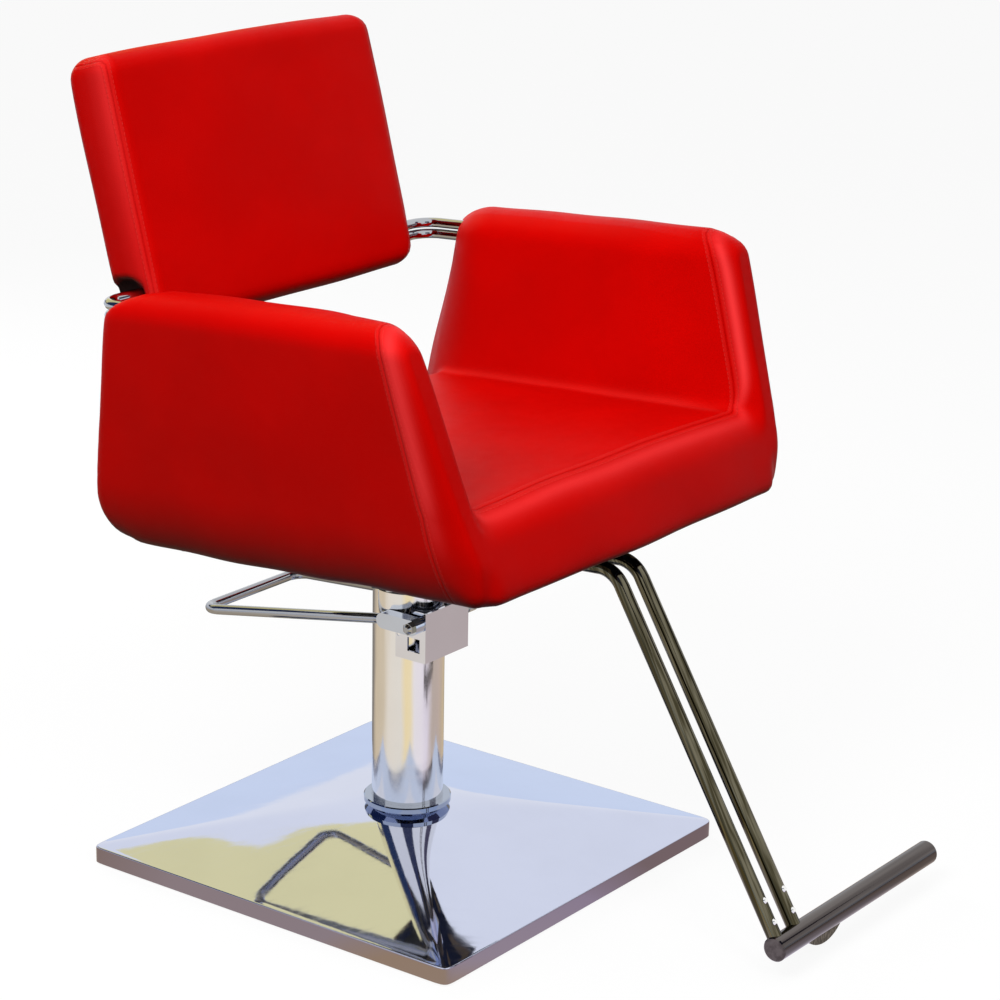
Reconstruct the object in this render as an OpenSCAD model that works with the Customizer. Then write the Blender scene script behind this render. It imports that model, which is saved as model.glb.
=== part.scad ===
// Hairdressing chair: square pillow base, hydraulic column with a foot lever,
// flared upholstered tub, backrest carried on stacked rods, and an offset twin tube footrest.
// The chair faces -Y. The origin is on the floor, on the axis of the column.

/* [Base] */
// Side of the square base cover
base_side = 560; // [480:5:680]
// Height of the base cover's straight rim above the floor
base_rim_h = 23; // [18:1:34]
// Height of the base cover at its crown
base_crown_h = 65; // [56:1:74]
// Sheet thickness of the base cover
cover_wall = 1.5; // [1:0.1:2.5]
// Thickness of the steel weight plate
plate_thick = 8; // [5:1:10]
// Diameter of a rubber floor pad
pad_d = 40; // [24:2:60]
// Height of a rubber floor pad
pad_h = 4; // [3:0.5:6]
// Diameter of the pump's round flange
flange_d = 190; // [170:5:230]
// Thickness of the pump's round flange
flange_thick = 12; // [8:1:14]
// Bolt circle of the pump's flange
flange_bolt_circle = 144; // [130:2:160]
// Shank diameter of a flange bolt
flange_bolt_d = 10; // [8:1:12]

/* [Column] */
// Outer diameter of the column casing
casing_d = 90; // [80:1:100]
// Wall of the column casing
casing_wall = 3; // [2:0.5:4]
// Height of the column casing's top above the floor
casing_top_z = 352; // [340:2:380]
// Outer diameter of the inner oil cylinder
cylinder_d = 52; // [50:1:54]
// Bore of the inner oil cylinder
cylinder_bore = 44; // [42:1:46]
// Diameter of the piston rod
rod_d = 34; // [30:1:38]
// Travel of the chair
lift_stroke = 140; // [100:5:150]
// Height of the tapered ring at the foot of the column
collar_h = 13; // [10:1:18]
// Largest diameter of the tapered ring
collar_d = 110; // [104:1:124]

/* [Foot pump] */
// Width of the pump head across the column
head_w = 86; // [80:1:88]
// Height of the pump head
head_h = 64; // [56:1:70]
// Distance from the column axis to the pump head's front face
head_reach = 60; // [57:1:66]
// Height of the pump head's underside above the floor
head_z = 276; // [262:2:280]
// Sheet thickness of the pump head
head_wall = 3; // [2:0.5:3.5]
// Diameter of the rocker shaft
shaft_d = 10; // [8:0.5:11]
// Diameter of the lever's rod
lever_rod_d = 13; // [10:0.5:14]
// Length of the lever loop, from its cheeks to the bar
lever_len = 270; // [200:5:320]
// Width of the lever loop at its bar
lever_bar_w = 200; // [150:2:240]
// Slope of the lever loop at rest
lever_slope = 7.5; // [4:0.5:10]
// Diameter of the pump's plunger
plunger_d = 8; // [6:0.5:9]

/* [Seat tub] */
// Height of the tub's underside above the floor, at the column axis
tub_z = 457; // [456:1:500]
// Backward pitch of the whole seat
seat_pitch = 3.2; // [2:0.1:5]
// Height of an arm above the tub's underside
arm_h = 311; // [290:1:330]
// Distance from the column axis to the tub's lower front edge
tub_front = 355; // [330:1:370]
// Distance from the column axis to the tub's lower rear edge
tub_rear = 244; // [235:1:260]
// How far the front edge leans back over an arm's height
front_lean = 85; // [50:1:90]
// How far the rear edge leans forward over an arm's height
rear_lean = 78; // [60:1:84]
// Distance between the arms at the tub's underside
inner_w = 470; // [450:2:500]
// How far an arm leans outward over its height
arm_flare = 35; // [25:1:45]
// Thickness of an arm
arm_thick = 80; // [76:1:92]
// How far an arm's rear end is cut forward on its inner side
arm_rear_cut = 84; // [50:1:90]
// Height of the seat's top, at the arms, above the tub's underside
seat_h = 104; // [90:1:115]
// Crown of the seat cushion
seat_crown = 8; // [2:1:14]
// Thickness of the plywood panels in the seat and arms
ply_thick = 18; // [12:1:20]

/* [Backrest] */
// Width of the backrest
back_w = 481; // [450:1:500]
// Height of the backrest along its slope
back_h = 327; // [300:1:400]
// Thickness of the backrest
back_thick = 74; // [68:1:80]
// Slope of the backrest, measured from the seat
back_tilt = 12; // [10:0.5:14]
// Crown of the backrest's front
back_crown = 7; // [2:1:12]
// Depth of the backrest's lower edge below the arms' top
back_drop = 62; // [58:1:66]
// Diameter of the backrest's rods
back_rod_d = 13; // [10:0.5:14]

/* [Footrest] */
// Outer diameter of the footrest tubes
foot_tube_d = 18; // [16:1:22]
// Wall of the footrest tubes and of the bar
foot_tube_wall = 1.5; // [1:0.1:2.5]
// Distance between the footrest tubes' axes
foot_tube_gap = 41; // [36:1:50]
// Distance from the column axis to the bend of the footrest tubes
foot_bend_reach = 319; // [300:1:330]
// Distance from the column axis to the footrest bar
foot_bar_reach = 541; // [500:1:560]
// Depth of the footrest bar's axis below the tub's underside
foot_bar_drop = 447; // [400:1:450]
// Length of the footrest bar without its caps
foot_bar_len = 352; // [300:2:400]
// Diameter of the footrest bar
foot_bar_d = 30; // [26:1:36]

/* [Hidden] */
$fn = 64;

// Colours
chrome_tone = [0.84, 0.86, 0.9];
steel_tone = [0.55, 0.56, 0.58];
black_tone = [0.12, 0.12, 0.13];
ply_tone = [0.72, 0.56, 0.36];
red_tone = [0.76, 0.05, 0.04];

// Overrun of every cut
over = 1;
// Radial clearance of a pin, shaft or piston in its bore
fit_gap = 0.05;
// Clearance round a piece inside a soft pad
soft_gap = 0.3;
// Clearance between the seat cushion and an arm
crease_gap = 0.4;

// Stack of the standing parts, from the floor up
plate_z = pad_h;
flange_z = plate_z + plate_thick;
pump_z = flange_z + flange_thick;
cover_skirt_z = pad_h / 2;
plate_gap = 1.2;
plate_side = base_side - 2 * cover_wall - 2 * plate_gap;
plate_corner = 18;
casing_r = casing_d / 2;
casing_bore_r = casing_r - casing_wall;

// One floor pad lies under the column and the others near the plate's corners
pad_inset_share = 0.375;
pad_place = base_side * pad_inset_share;

// Flange bolts
bolt_head_af_share = 1.8;
bolt_head_h_share = 0.7;
bolt_quarters = 4;
bolt_loose = 0.5;

// Tapered ring: its foot, its widest place and its lip as shares of its height
collar_foot_share = 0.15;
collar_waist_share = 0.45;
collar_lip_share = 0.1;

// Gland cap: a plug in the casing with a flange on its top
gland_flange_h = 6;
gland_plug_h = 16;
gland_groove_h = 4;
gland_groove_depth = 2;
gland_groove_drop = 5;
gland_chamfer = 1.5;

// Oil cylinder
cylinder_floor = 8;

// Piston
piston_h = 16;
piston_float = 4;
spigot_share = 0.6;
piston_spigot_d = rod_d * spigot_share;
ring_groove_h = 4;
ring_groove_depth = 3;
stop_gap = 0.5;
stop_side_gap = 2;

// Rocker shaft and what stands on it
shaft_front_clear = 1;
shaft_drop = 14;
shaft_y = -(head_reach - head_wall - shaft_d / 2 - shaft_front_clear);
shaft_z = head_z + head_h - shaft_drop;
cheek_wall = 1.5;
cheek_thick = lever_rod_d + 2 * cheek_wall;
cheek_clear = 1;
cheek_r = 10;
cheek_tail_y = -8;
cheek_in = casing_r + cheek_clear;
cheek_out = cheek_in + cheek_thick;
boss_r = 8.5;
boss_gap = 0.3;
nut_h = 5;
nut_d = 16;
nut_dome_h = 3;
nut_dome_foot_share = 0.8;
nut_dome_top_share = 0.4;
finger_w = 8;
finger_r = 4;
finger_gap = 0.3;
finger_slot_side = 3;
finger_slot_up = 8;
finger_slot_down = 14;

// Plunger and its barrel stand in the gap between the oil cylinder and the casing
barrel_gap = 0.3;
barrel_d = casing_bore_r - cylinder_d / 2 - 2 * barrel_gap;
barrel_y = -(cylinder_d / 2 + casing_bore_r) / 2;
barrel_drop = 26;
barrel_h = 64;
barrel_floor = 5;
plunger_top_z = shaft_z - finger_r - finger_gap;
plunger_len = 68;
plunger_head_d = 12;
plunger_head_h = 3;

// Pump head details
head_rear_y = -13;
head_slope_y = -42;
head_slope_drop = 30;
window_y = [-51, -32];
window_z_share = [0.18, 0.46];
hole_y = -18;
hole_z_share = 0.47;
hole_d = 5;

// Lever loop
lever_bend_r = 20;
lever_root_y = cheek_tail_y;
lever_root_x = (cheek_in + cheek_out) / 2;
lever_socket = 16;
lever_half = (lever_bar_w - lever_rod_d) / 2;
lever_path = [[lever_root_x, -lever_socket / 2], [lever_root_x, lever_socket], [lever_half, lever_len],
    [-lever_half, lever_len], [-lever_root_x, lever_socket], [-lever_root_x, -lever_socket / 2]];

// Under the seat
bar_thick = 4;
bar_width = 40;
bar_end_clear = 32;
bar_len = inner_w + 2 * arm_thick - 2 * bar_end_clear;
bar_places = [-190, 120];
seat_plate_thick = 5;
seat_plate_w = 220;
seat_plate_front = 215;
seat_plate_rear = 145;
seat_plate_corner = 20;
plate_top = -bar_thick;
plate_under = plate_top - seat_plate_thick;
plate_bolt_d = 8;
plate_bolt_x = 90;
plate_bolt_head_h = 5.5;
plate_bolt_head_d = 15;
bar_screw_d = 5;
bar_screw_head_d = 10;
bar_screw_head_h = 2.5;
bar_screw_len = 16;

// Swivel hub
hub_gap = 4;
hub_foot_z = casing_top_z + gland_flange_h + hub_gap;
hub_foot_wall = 8;
hub_top_wall = 22;
hub_foot_r = rod_d / 2 + hub_foot_wall;
hub_top_r = rod_d / 2 + hub_top_wall;
hub_neck_share = 0.6;
hub_bore_rise = 62;
washer_h = 3;
washer_gap = 0.2;
rod_top_z = hub_foot_z + hub_bore_rise - washer_h - washer_gap;

// Tub outline, in the seat's own frame
front_slope_share = front_lean / arm_h;
rear_slope_share = rear_lean / arm_h;
arm_corner_r = [40, 46, 50, 52];
arm_edge_r = 30;
arm_crown = 4;
seat_corner_r = [22, 20, 24, 40];
seat_side_r = 3;
seat_rear = 178;
seat_rear_lean = 20;
arm_lean_angle = atan(arm_flare / arm_h);

// Plywood inside the tub
board_inset = 26;
board_front_clear = 34;
panel_inset = 32;
panel_top_share = 0.845;

// Rods between the arms and the backrest
back_rod_between = 1.5;
back_rod_shift = 5;
back_rod_drop = 24;
rod_spacing = back_rod_d + back_rod_between;
back_rod_x = inner_w / 2 + arm_flare + arm_thick / 2 - back_rod_shift;
back_rod_top_z = arm_h - back_rod_drop;
back_rod_start_y = 50;
back_rod_bend_r = 28;
back_rod_in = 54;
socket_len = 58;
socket_w = 22;
socket_wall = 3;

// Backrest, in its own sloping frame: front face at 0, rear at its thickness
back_y = 167;
back_lift = arm_h - back_drop;
back_corner_r = 26;
back_edge_r = 15;
back_rear_crown = 3;
rail_front = 24;
rail_rear = 48;
rail_foot = 14;
rail_top = 60;
rail_side = 26;
rail_wall = 2.5;
rail_end = 34;
back_board_thick = 9;
back_board_top_share = 0.92;
back_board_side = 24;
back_screw_places = [-120, 120];
back_screw_d = 5;
back_screw_head_d = 9;
back_screw_head_h = 1.6;
back_screw_len = 10;

// The rods' Y where they enter the backrest, at a set depth behind its front
back_rod_depth = 32;
back_rod_y = back_y + back_rod_depth * cos(back_tilt) + (back_rod_top_z - back_lift) * sin(back_tilt);

// Footrest
foot_bend_r = 36;
foot_tube_z = -26;
foot_tube_start = 78;
clamp_front = 165;
clamp_rear = 85;
clamp_side = 12;
clamp_under = 4;
clamp_bolt_out = 7;
clamp_bolt_x = foot_tube_gap / 2 + foot_tube_d / 2 + clamp_bolt_out;
clamp_bolt_d = 6;
clamp_bolt_head_d = 11;
clamp_bolt_head_h = 4;
clamp_bolt_inset = 16;
clamp_ear = 18;
clamp_ear_h = 8;
foot_bar_start = -28;
cap_h = 3;
cap_plug = 10;
cap_edge = 1.5;
gusset_thick = 6;
gusset_x = [26, 128];
gusset_depth = 14;
rivet_steps = [29, 56];
rivet_d = 8;
rivet_h = 2;
rivet_shank_d = 4;
rivet_top_share = 0.6;

// Frames: the pitched seat, and the sloping backrest on it
module seat_frame() {
    translate([0, 0, tub_z]) rotate([-seat_pitch, 0, 0]) children();
}

module back_frame() {
    translate([0, back_y, back_lift]) rotate([-back_tilt, 0, 0]) children();
}

// A piece on the sitter's left, and its twin on the right
module on_left() { children(); }

module on_right() { mirror([1, 0, 0]) children(); }

// Rods and tubes bent in one plane: straight runs between the points, an arc at each inner point.
// A run reaches into its arcs by the lap, and the arcs are thinner by the slim, so they end inside the runs.
bend_lap = 0.5;
bend_slim = 0.12;
function unit(v) = v / norm(v);
function heading(a, b) = atan2(b.y - a.y, b.x - a.x);
function wrap(a) = a > 180 ? a - 360 : a < -180 ? a + 360 : a;
function turn_at(pts, i) = wrap(heading(pts[i], pts[i + 1]) - heading(pts[i - 1], pts[i]));
function set_back(pts, i, bend_r) =
    i == 0 || i == len(pts) - 1 ? 0 : bend_r * tan(abs(turn_at(pts, i)) / 2);

module bent_rod(pts, bend_r, r, reach = 0) {
    last = len(pts) - 1;
    for (i = [0 : last - 1]) {
        way = unit(pts[i + 1] - pts[i]);
        from = pts[i] + way * (i == 0 ? -reach : set_back(pts, i, bend_r) - bend_lap);
        to = pts[i + 1] - way * (i + 1 == last ? -reach : set_back(pts, i + 1, bend_r) - bend_lap);
        translate(from) rotate([0, 0, heading(from, to)]) rotate([0, 90, 0])
            cylinder(r = r, h = norm(to - from));
    }
    for (i = [1 : last - 1]) {
        turn = turn_at(pts, i);
        side = turn > 0 ? 1 : -1;
        way = unit(pts[i] - pts[i - 1]);
        start = pts[i] - way * set_back(pts, i, bend_r);
        middle = start + side * bend_r * [-way.y, way.x];
        from_angle = side > 0 ? heading([0, 0], way) - 90 : heading([0, 0], way) + 90 + turn;
        translate(middle) rotate([0, 0, from_angle])
            rotate_extrude(angle = abs(turn)) translate([bend_r, 0]) circle(r = r - bend_slim);
    }
}

// Soft pads: a rounded outline is lofted through the pad's thickness. Each ring is [share, inset, depth]:
// the outline drawn in by inset, scaled to its middle by share, at that depth.
arc_steps = 4;
function corner_arc(pts, radii, i, inset) =
    let (n = len(pts),
        back = unit(pts[(i + n - 1) % n] - pts[i]),
        on = unit(pts[(i + 1) % n] - pts[i]),
        half_angle = acos(back * on) / 2,
        middle = pts[i] + unit(back + on) * radii[i] / sin(half_angle),
        first = atan2(back.x, -back.y),
        sweep = 180 - 2 * half_angle)
    [for (k = [0 : arc_steps])
        let (a = first + sweep * k / arc_steps)
        middle + (radii[i] - inset) * [cos(a), sin(a)]];
function outline(pts, radii, inset) = [for (i = [0 : len(pts) - 1]) each corner_arc(pts, radii, i, inset)];

edge_steps = 3;
crown_shares = [0.45, 0.8];
function pad_rings(thick, edge_r, crown_near, crown_far) = concat(
    [for (s = crown_shares) [s, edge_r, -crown_near * (1 - s * s)]],
    [for (k = [0 : edge_steps])
        let (a = 90 * k / edge_steps) [1, edge_r * (1 - sin(a)), edge_r * (1 - cos(a))]],
    [for (k = [edge_steps : -1 : 0])
        let (a = 90 * k / edge_steps) [1, edge_r * (1 - sin(a)), thick - edge_r * (1 - cos(a))]],
    [for (i = [len(crown_shares) - 1 : -1 : 0])
        let (s = crown_shares[i]) [s, edge_r, thick + crown_far * (1 - s * s)]]);

// The pad's skin: ring faces in pairs of triangles, and a fan at either end
module skin(rings, near_tip, far_tip) {
    n = len(rings[0]);
    m = len(rings);
    polyhedron(
        points = concat([for (ring = rings) each ring], [near_tip, far_tip]),
        faces = concat(
            [for (k = [0 : m - 2], j = [0 : n - 1])
                [k * n + j, (k + 1) * n + (j + 1) % n, k * n + (j + 1) % n]],
            [for (k = [0 : m - 2], j = [0 : n - 1])
                [k * n + j, (k + 1) * n + j, (k + 1) * n + (j + 1) % n]],
            [for (j = [0 : n - 1]) [m * n, j, (j + 1) % n]],
            [for (j = [0 : n - 1]) [m * n + 1, (m - 1) * n + (j + 1) % n, (m - 1) * n + j]]));
}

// Base
module floor_pads() {
    color(black_tone) {
        cylinder(d = pad_d, h = pad_h);
        for (x = [-1, 1], y = [-1, 1])
            translate([x * pad_place, y * pad_place, 0]) cylinder(d = pad_d, h = pad_h);
    }
}

module flange_bolt_places() {
    for (q = [0 : bolt_quarters - 1])
        rotate([0, 0, 360 * (q + 0.5) / bolt_quarters]) translate([flange_bolt_circle / 2, 0, 0]) children();
}

// A rectangle with round corners, by its half sizes
module round_plate(half_x, front, rear, corner, thick) {
    linear_extrude(thick) {
        translate([-half_x, -front + corner]) square([2 * half_x, front + rear - 2 * corner]);
        translate([-half_x + corner, -front]) square([2 * (half_x - corner), front + rear]);
        for (x = [-1, 1], y = [-front + corner, rear - corner])
            translate([x * (half_x - corner), y]) circle(r = corner);
    }
}

module base_plate() {
    color(steel_tone) difference() {
        translate([0, 0, plate_z])
            round_plate(plate_side / 2, plate_side / 2, plate_side / 2, plate_corner, plate_thick);
        flange_bolt_places() translate([0, 0, plate_z - over])
            cylinder(r = flange_bolt_d / 2 + fit_gap, h = plate_thick + 2 * over);
    }
}

// The cover is lofted from the round hole at the column to the square rim: level by level the outline goes
// from a circle to a square with small corners, while the height falls from the crown to the rim.
cover_sides = 72;
cover_steps = 8;
cover_under_steps = 3;
cover_hole_gap = 1;
cover_hole_r = casing_r + cover_hole_gap;
cover_fall_power = 1.15;
cover_square_power = 1.5;
rim_power = 56;
corner_crowding = 0.8;
rim_bevel = 1.2;
function rim_angle(j) =
    let (a = 360 * j / cover_sides) a + corner_crowding / 4 * sin(4 * a) * 180 / PI;
function cover_ring(share, reach, z) = [for (j = [0 : cover_sides - 1])
    let (a = rim_angle(j),
        power = 2 + (rim_power - 2) * pow(share, cover_square_power),
        r = reach / pow(pow(abs(cos(a)), power) + pow(abs(sin(a)), power), 1 / power))
    [r * cos(a), r * sin(a), z]];
function cover_level(share, rim_reach, sink) = cover_ring(share,
    cover_hole_r + (rim_reach - cover_hole_r) * share,
    base_rim_h - sink + (base_crown_h - base_rim_h) * (1 - pow(share, cover_fall_power)));

module base_cover() {
    half = base_side / 2;
    rings = concat(
        [for (k = [0 : cover_steps]) cover_level(k / cover_steps, half - rim_bevel, 0)],
        [cover_ring(1, half, base_rim_h - rim_bevel), cover_ring(1, half, cover_skirt_z),
            cover_ring(1, half - cover_wall, cover_skirt_z)],
        [for (k = [cover_under_steps : -1 : 0])
            cover_level(k / cover_under_steps, half - rim_bevel - cover_wall,
                cover_wall * (1 + k / cover_under_steps))]);
    n = cover_sides;
    m = len(rings);
    color(chrome_tone) polyhedron(
        points = [for (ring = rings) each ring],
        faces = concat(
            [for (k = [0 : m - 1], j = [0 : n - 1])
                [k * n + j, ((k + 1) % m) * n + (j + 1) % n, ((k + 1) % m) * n + j]],
            [for (k = [0 : m - 1], j = [0 : n - 1])
                [k * n + j, k * n + (j + 1) % n, ((k + 1) % m) * n + (j + 1) % n]]));
}

module pump_flange() {
    color(steel_tone) difference() {
        translate([0, 0, flange_z]) cylinder(d = flange_d, h = flange_thick);
        flange_bolt_places() translate([0, 0, flange_z - over])
            cylinder(r = flange_bolt_d / 2 + bolt_loose, h = flange_thick + 2 * over);
    }
}

module flange_bolts() {
    head_h = flange_bolt_d * bolt_head_h_share;
    head_d = flange_bolt_d * bolt_head_af_share / cos(30);
    color(steel_tone) flange_bolt_places() {
        translate([0, 0, pump_z]) cylinder(d = head_d, h = head_h, $fn = 6);
        translate([0, 0, plate_z]) cylinder(d = flange_bolt_d, h = flange_thick + plate_thick);
    }
}

module collar_ring() {
    inner = casing_r + fit_gap;
    foot = casing_r + collar_h * collar_foot_share;
    outer = collar_d / 2;
    lip = collar_h * collar_lip_share;
    color(chrome_tone) translate([0, 0, base_crown_h]) rotate_extrude()
        polygon([[inner, 0], [foot, 0], [outer, collar_h * collar_waist_share], [outer, collar_h - lip],
            [outer - lip, collar_h], [inner, collar_h]]);
}

// Column
module pump_casing() {
    color(chrome_tone) difference() {
        translate([0, 0, pump_z]) cylinder(r = casing_r, h = casing_top_z - pump_z);
        translate([0, 0, pump_z - over]) cylinder(r = casing_bore_r, h = casing_top_z - pump_z + 2 * over);
        translate([-finger_w / 2 - finger_slot_side, -casing_r - over, shaft_z - finger_slot_down])
            cube([finger_w + 2 * finger_slot_side, casing_wall + 3 * over,
                finger_slot_down + finger_slot_up]);
    }
}

module pump_cylinder() {
    top = casing_top_z - gland_plug_h;
    color(steel_tone) difference() {
        translate([0, 0, pump_z]) cylinder(d = cylinder_d, h = top - pump_z);
        translate([0, 0, pump_z + cylinder_floor]) cylinder(d = cylinder_bore, h = top - pump_z);
    }
}

module gland_cap() {
    bore = rod_d / 2 + fit_gap;
    plug = casing_bore_r - fit_gap;
    color(chrome_tone) difference() {
        translate([0, 0, casing_top_z]) rotate_extrude() polygon([
            [bore, -gland_plug_h], [plug, -gland_plug_h], [plug, 0], [casing_r, 0],
            [casing_r, gland_flange_h - gland_chamfer], [casing_r - gland_chamfer, gland_flange_h],
            [bore, gland_flange_h]]);
        translate([0, 0, casing_top_z - gland_groove_drop - gland_groove_h])
            cylinder(r = bore + gland_groove_depth, h = gland_groove_h);
    }
}

module pump_barrel() {
    top = shaft_z - barrel_drop;
    color(steel_tone) translate([0, barrel_y, 0]) difference() {
        translate([0, 0, top - barrel_h]) cylinder(d = barrel_d, h = barrel_h);
        translate([0, 0, top - barrel_h + barrel_floor])
            cylinder(r = plunger_d / 2 + fit_gap, h = barrel_h);
    }
}

// Pump head: a sheet box whose sides slope down to the column and carry the rocker shaft
module head_side_outline() {
    polygon([[-head_reach, head_z], [head_rear_y, head_z],
        [head_rear_y, head_z + head_h - head_slope_drop], [head_slope_y, head_z + head_h],
        [-head_reach, head_z + head_h]]);
}

// The side outline, drawn in the YZ plane and given a width along X
module along_x(x, w) {
    translate([x, 0, 0]) rotate([90, 0, 90]) linear_extrude(w) children();
}

module pump_head() {
    color(chrome_tone) difference() {
        along_x(-head_w / 2, head_w) head_side_outline();
        translate([-head_w / 2 + head_wall, -head_reach + head_wall, head_z + head_wall])
            cube([head_w - 2 * head_wall, head_reach, head_h]);
        translate([0, 0, head_z - over]) cylinder(r = casing_r + fit_gap, h = head_h + 2 * over);
        translate([-head_w / 2 - over, shaft_y, shaft_z]) rotate([0, 90, 0])
            cylinder(r = shaft_d / 2 + fit_gap, h = head_w + 2 * over);
        translate([-head_w / 2 - over, window_y[0], head_z + head_h * window_z_share[0]])
            cube([head_w + 2 * over, window_y[1] - window_y[0],
                head_h * (window_z_share[1] - window_z_share[0])]);
        translate([-head_w / 2 - over, hole_y, head_z + head_h * hole_z_share]) rotate([0, 90, 0])
            cylinder(d = hole_d, h = head_w + 2 * over);
    }
}

// Foot pump
module pump_plunger() {
    color(steel_tone) translate([0, barrel_y, plunger_top_z]) {
        translate([0, 0, -plunger_len]) cylinder(d = plunger_d, h = plunger_len);
        translate([0, 0, -plunger_head_h]) cylinder(d = plunger_head_d, h = plunger_head_h);
    }
}

module rocker_shaft() {
    color(steel_tone) {
        translate([-cheek_out, shaft_y, shaft_z]) rotate([0, 90, 0]) cylinder(d = shaft_d, h = 2 * cheek_out);
        translate([-finger_w / 2, barrel_y, shaft_z]) rotate([0, 90, 0]) cylinder(r = finger_r, h = finger_w);
        translate([-finger_w / 2, shaft_y, shaft_z - finger_r])
            cube([finger_w, barrel_y - shaft_y, 2 * finger_r]);
    }
}

// Each cheek is a slot shape from the shaft to the tail that takes the loop's end, with a boss to the head
module cheek() {
    run = [cheek_tail_y - shaft_y, 0];
    difference() {
        union() {
            for (y = [shaft_y, cheek_tail_y])
                translate([cheek_in, y, shaft_z]) rotate([0, 90, 0]) cylinder(r = cheek_r, h = cheek_thick);
            translate([cheek_in, shaft_y, shaft_z - cheek_r]) cube([cheek_thick, run.x, 2 * cheek_r]);
            translate([head_w / 2 + boss_gap, shaft_y, shaft_z]) rotate([0, 90, 0])
                cylinder(r = boss_r, h = cheek_in - head_w / 2 - boss_gap);
        }
        translate([head_w / 2, shaft_y, shaft_z]) rotate([0, 90, 0])
            cylinder(r = shaft_d / 2 + fit_gap, h = cheek_out);
        lever_frame() bent_rod(lever_path, lever_bend_r, lever_rod_d / 2 + fit_gap, fit_gap);
    }
}

module lever_yoke() {
    color(chrome_tone) {
        on_left() cheek();
        on_right() cheek();
    }
}

module lever_frame() {
    translate([0, lever_root_y, shaft_z]) rotate([-lever_slope, 0, 0]) children();
}

module pump_lever() {
    color(chrome_tone) lever_frame() bent_rod(lever_path, lever_bend_r, lever_rod_d / 2);
}

module shaft_nuts() {
    color(chrome_tone)
        for (side = [-1, 1])
            translate([side * cheek_out, shaft_y, shaft_z]) rotate([0, side * 90, 0]) {
                cylinder(d = nut_d, h = nut_h, $fn = 6);
                translate([0, 0, nut_h]) cylinder(d1 = nut_d * nut_dome_foot_share,
                    d2 = nut_d * nut_dome_top_share, h = nut_dome_h);
            }
}

// Lift
piston_z = pump_z + cylinder_floor + piston_float;

// The rod's thicker foot meets the gland at the end of the travel
module piston_rod() {
    foot_z = piston_z + piston_h;
    stop_h = casing_top_z - gland_plug_h - foot_z - lift_stroke - stop_gap;
    stop_r = cylinder_bore / 2 - stop_side_gap;
    color(chrome_tone) {
        translate([0, 0, foot_z]) cylinder(d = rod_d, h = rod_top_z - foot_z);
        translate([0, 0, foot_z]) cylinder(r = stop_r, h = stop_h);
        translate([0, 0, piston_z]) cylinder(d = piston_spigot_d, h = piston_h);
    }
}

module piston() {
    outer = cylinder_bore / 2 - fit_gap;
    color(steel_tone) difference() {
        translate([0, 0, piston_z]) cylinder(r = outer, h = piston_h);
        translate([0, 0, piston_z - over])
            cylinder(r = piston_spigot_d / 2 + fit_gap, h = piston_h + 2 * over);
        translate([0, 0, piston_z + (piston_h - ring_groove_h) / 2]) difference() {
            cylinder(r = outer + over, h = ring_groove_h);
            translate([0, 0, -over]) cylinder(r = outer - ring_groove_depth, h = ring_groove_h + 2 * over);
        }
    }
}

module piston_ring() {
    outer = cylinder_bore / 2 - fit_gap;
    color(black_tone) translate([0, 0, piston_z + piston_h / 2 - ring_groove_h / 2 + fit_gap]) difference() {
        cylinder(r = outer, h = ring_groove_h - 2 * fit_gap);
        translate([0, 0, -over])
            cylinder(r = outer - ring_groove_depth + fit_gap, h = ring_groove_h + 2 * over);
    }
}

// Swivel hub: a turned cone whose top is cut to the pitch of the seat plate
module thrust_washer() {
    color(steel_tone) translate([0, 0, rod_top_z + washer_gap]) cylinder(d = rod_d, h = washer_h);
}

module swivel_hub() {
    tall = tub_z - hub_foot_z;
    neck = tall * hub_neck_share;
    color(black_tone) difference() {
        translate([0, 0, hub_foot_z]) rotate_extrude() polygon([
            [0, 0], [hub_foot_r, 0], [hub_foot_r + (hub_top_r - hub_foot_r) / 3, neck], [hub_top_r, tall],
            [0, tall]]);
        translate([0, 0, hub_foot_z - over]) cylinder(r = rod_d / 2 + fit_gap, h = hub_bore_rise + over);
        seat_frame() translate([-hub_top_r - over, -hub_top_r - over, plate_under])
            cube([2 * (hub_top_r + over), 2 * (hub_top_r + over), hub_top_r]);
    }
}

// Steel under the seat
module plate_bolt_places() {
    for (x = [-plate_bolt_x, plate_bolt_x], y = bar_places) translate([x, y, 0]) children();
}

module clamp_bolt_places() {
    rows = [-clamp_front + clamp_bolt_inset, -clamp_rear - clamp_bolt_inset];
    for (x = [-clamp_bolt_x, clamp_bolt_x], y = rows) translate([x, y, 0]) children();
}

module seat_plate() {
    color(black_tone) seat_frame() difference() {
        translate([0, 0, plate_under]) round_plate(seat_plate_w / 2, seat_plate_front, seat_plate_rear,
            seat_plate_corner, seat_plate_thick);
        plate_bolt_places() translate([0, 0, plate_under - over])
            cylinder(r = plate_bolt_d / 2 + fit_gap, h = seat_plate_thick + 2 * over);
        clamp_bolt_places() translate([0, 0, plate_under - over])
            cylinder(r = clamp_bolt_d / 2 + fit_gap, h = seat_plate_thick + 2 * over);
    }
}

module plate_bolts() {
    color(steel_tone) seat_frame() plate_bolt_places() {
        translate([0, 0, plate_under - plate_bolt_head_h])
            cylinder(d = plate_bolt_head_d, h = plate_bolt_head_h, $fn = 6);
        translate([0, 0, plate_under]) cylinder(d = plate_bolt_d, h = ply_thick - plate_under);
    }
}

module bar_screw_places() {
    for (x = [-1, 1], y = bar_places) {
        translate([x * (inner_w / 2 + arm_thick / 2), y, 0]) children();
        translate([x * (inner_w / 2 - 2 * board_inset), y, 0]) children();
    }
}

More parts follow.
